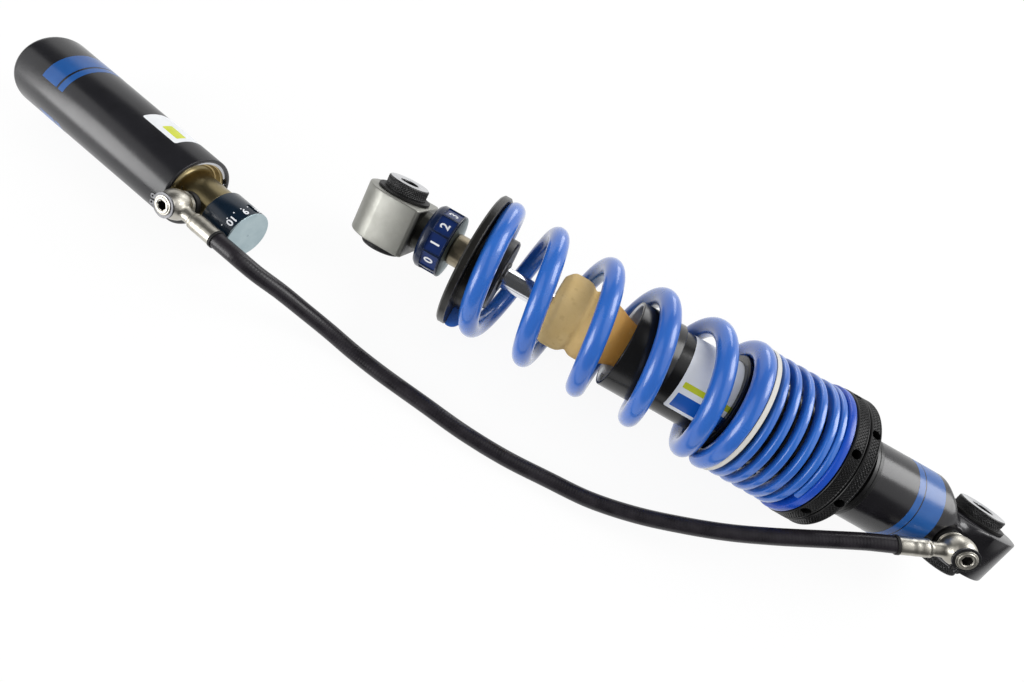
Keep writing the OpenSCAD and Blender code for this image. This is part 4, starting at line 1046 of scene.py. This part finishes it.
can_grey = surface(
    "reservoir_coat", (24, 24, 27), (30, 30, 34), rough=(0.20, 0.27), worn=(120, 120, 124),
    edge=0.0004, marks=((0.98, -0.19, 0), 1200, 1800, 0.2))
can_radius = 22.5
can_outline = [(4, -119.5), (18, -119.5)] + arc(can_radius - 4, -115.5, 4, -88, 0, 12) \
    + [(can_radius, -0.9), (22.35, -0.45), (21.9, -0.1), (21.4, 0), (20.7, -0.1), (20.3, -0.5),
       (20.2, -1.2), (20.7, -1.2), (20.7, -2.5), (19.9, -2.5), (19.9, -112.5), (4, -112.5)]
piece("reservoir_tube_extruded", lathe(can_outline, reservoir_frame, 144), "reservoir", can_grey,
      "reservoir_grey", "reservoir_tube")
for name, low, high in (("reservoir_band_wide", -98.4, -87.4),
                        ("reservoir_band_narrow", -86.2, -82.6)):
    piece(name, wrapped(can_radius, low, high, 34, 342, reservoir_frame), "reservoir", band_blue,
          "reservoir_grey")
label_film = wrapped(can_radius, -42.5, -17, -128, -67.5, reservoir_frame, 1.2, label_thick)
piece("reservoir_label", label_film, "reservoir", label_white, "reservoir_grey")
bar_film = wrapped(can_radius + label_thick, -31.5, -20, -92, -76, reservoir_frame, ink_corner,
                   ink_thick)
piece("reservoir_label_bar", bar_film, "reservoir", label_lime, "reservoir_grey")

turned = {"edge": 0.0004, "marks": ((0.98, -0.19, 0), 2200, 2000, 0.6), "depth": 0.00003}
tan_metal = metal("tan_anodised", (190, 172, 128), (172, 152, 108), rough=(0.26, 0.4),
                  worn=(225, 215, 190), **turned)
# The valve housing is the cap's tan anodise darkened to olive: painted shade for the shadow under
# the cap.
valve_shaded_tan = metal("valve_painted_shade", (150, 138, 106), (132, 120, 88), rough=(0.26, 0.38),
                    worn=(210, 200, 172), **turned)
brass = metal("turned_brass", (200, 176, 110), (180, 156, 92), rough=(0.25, 0.35))
dress(tan_metal, "reservoir_end_cap")
dress(valve_shaded_tan, "valve_housing")
dress(ground_steel, "reservoir_snap_ring", "compression_needle")
dress(brass, "gas_valve")
dress(aluminium, "dividing_piston")
dress(seal_black, "dividing_seal")

# ---------- compression knob ----------
# A blue anodised knob with painted numbers round it and a bare, pale machined face. It turns on
# the valve housing's spindle.

knob_blue = surface(
    "knob_anodised", (3, 20, 34), (5, 26, 44), rough=(0.2, 0.28), worn=(110, 140, 160))
knob_radius = 15
knob_outline = [
    (4.05, 19.6), (14.5, 19.6), (14.9, 19.75), (knob_radius, 20.1), (knob_radius, 39.3),
    (14.92, 39.65), (14.6, 39.9), (0.9, 39.9), (0.45, 39.6), (0, 39.5), (0, 29.1), (4.05, 29.1)]
notch = rounded_block(7.4, 3, 4, 0.5)
notch.transform(turn(-96, "Z") @ shift(13.9, 0, 34.6) @ turn(90, "Y"))
knob_mesh = tidied(cut_by(lathe(knob_outline, None, 128), notch), reservoir_frame)
piece("compression_knob_turned", knob_mesh, "compression_adjuster", [knob_blue, bare_face],
      "knob_blue", "compression_knob", smooth=28)
for face, _, height, up in faces_about(knob_mesh, reservoir_frame):
    if height > 39.4 and up > 0.2:
        face.material_index = 1
for k in range(20):
    dot = rounded_block(0.8, 0.8, 0.12, 0.38)
    dot.transform(turn(-51 - 18 * k, "Z") @ shift(knob_radius - 0.04, 0, 33) @ turn(90, "Y"))
    piece("compression_dot_%d" % k, tidied(dot, reservoir_frame), "compression_adjuster",
          digit_white, "knob_blue")


def on_knob(turned_by, height):
    """Lays flat digits round the knob, about an angle and a height."""
    def mapping(x, y, z):
        a = math.radians(turned_by) + x / knob_radius
        r = knob_radius + 0.02 + 0.1 * z
        return reservoir_frame @ Vector((r * math.cos(a), r * math.sin(a), height + y))
    return mapping


for number in range(10, 0, -1):
    digits("compression_number_%d" % number, str(number), 5.8, "compression_adjuster",
           on_knob(36 * number - 395, 35.6), "knob_blue")
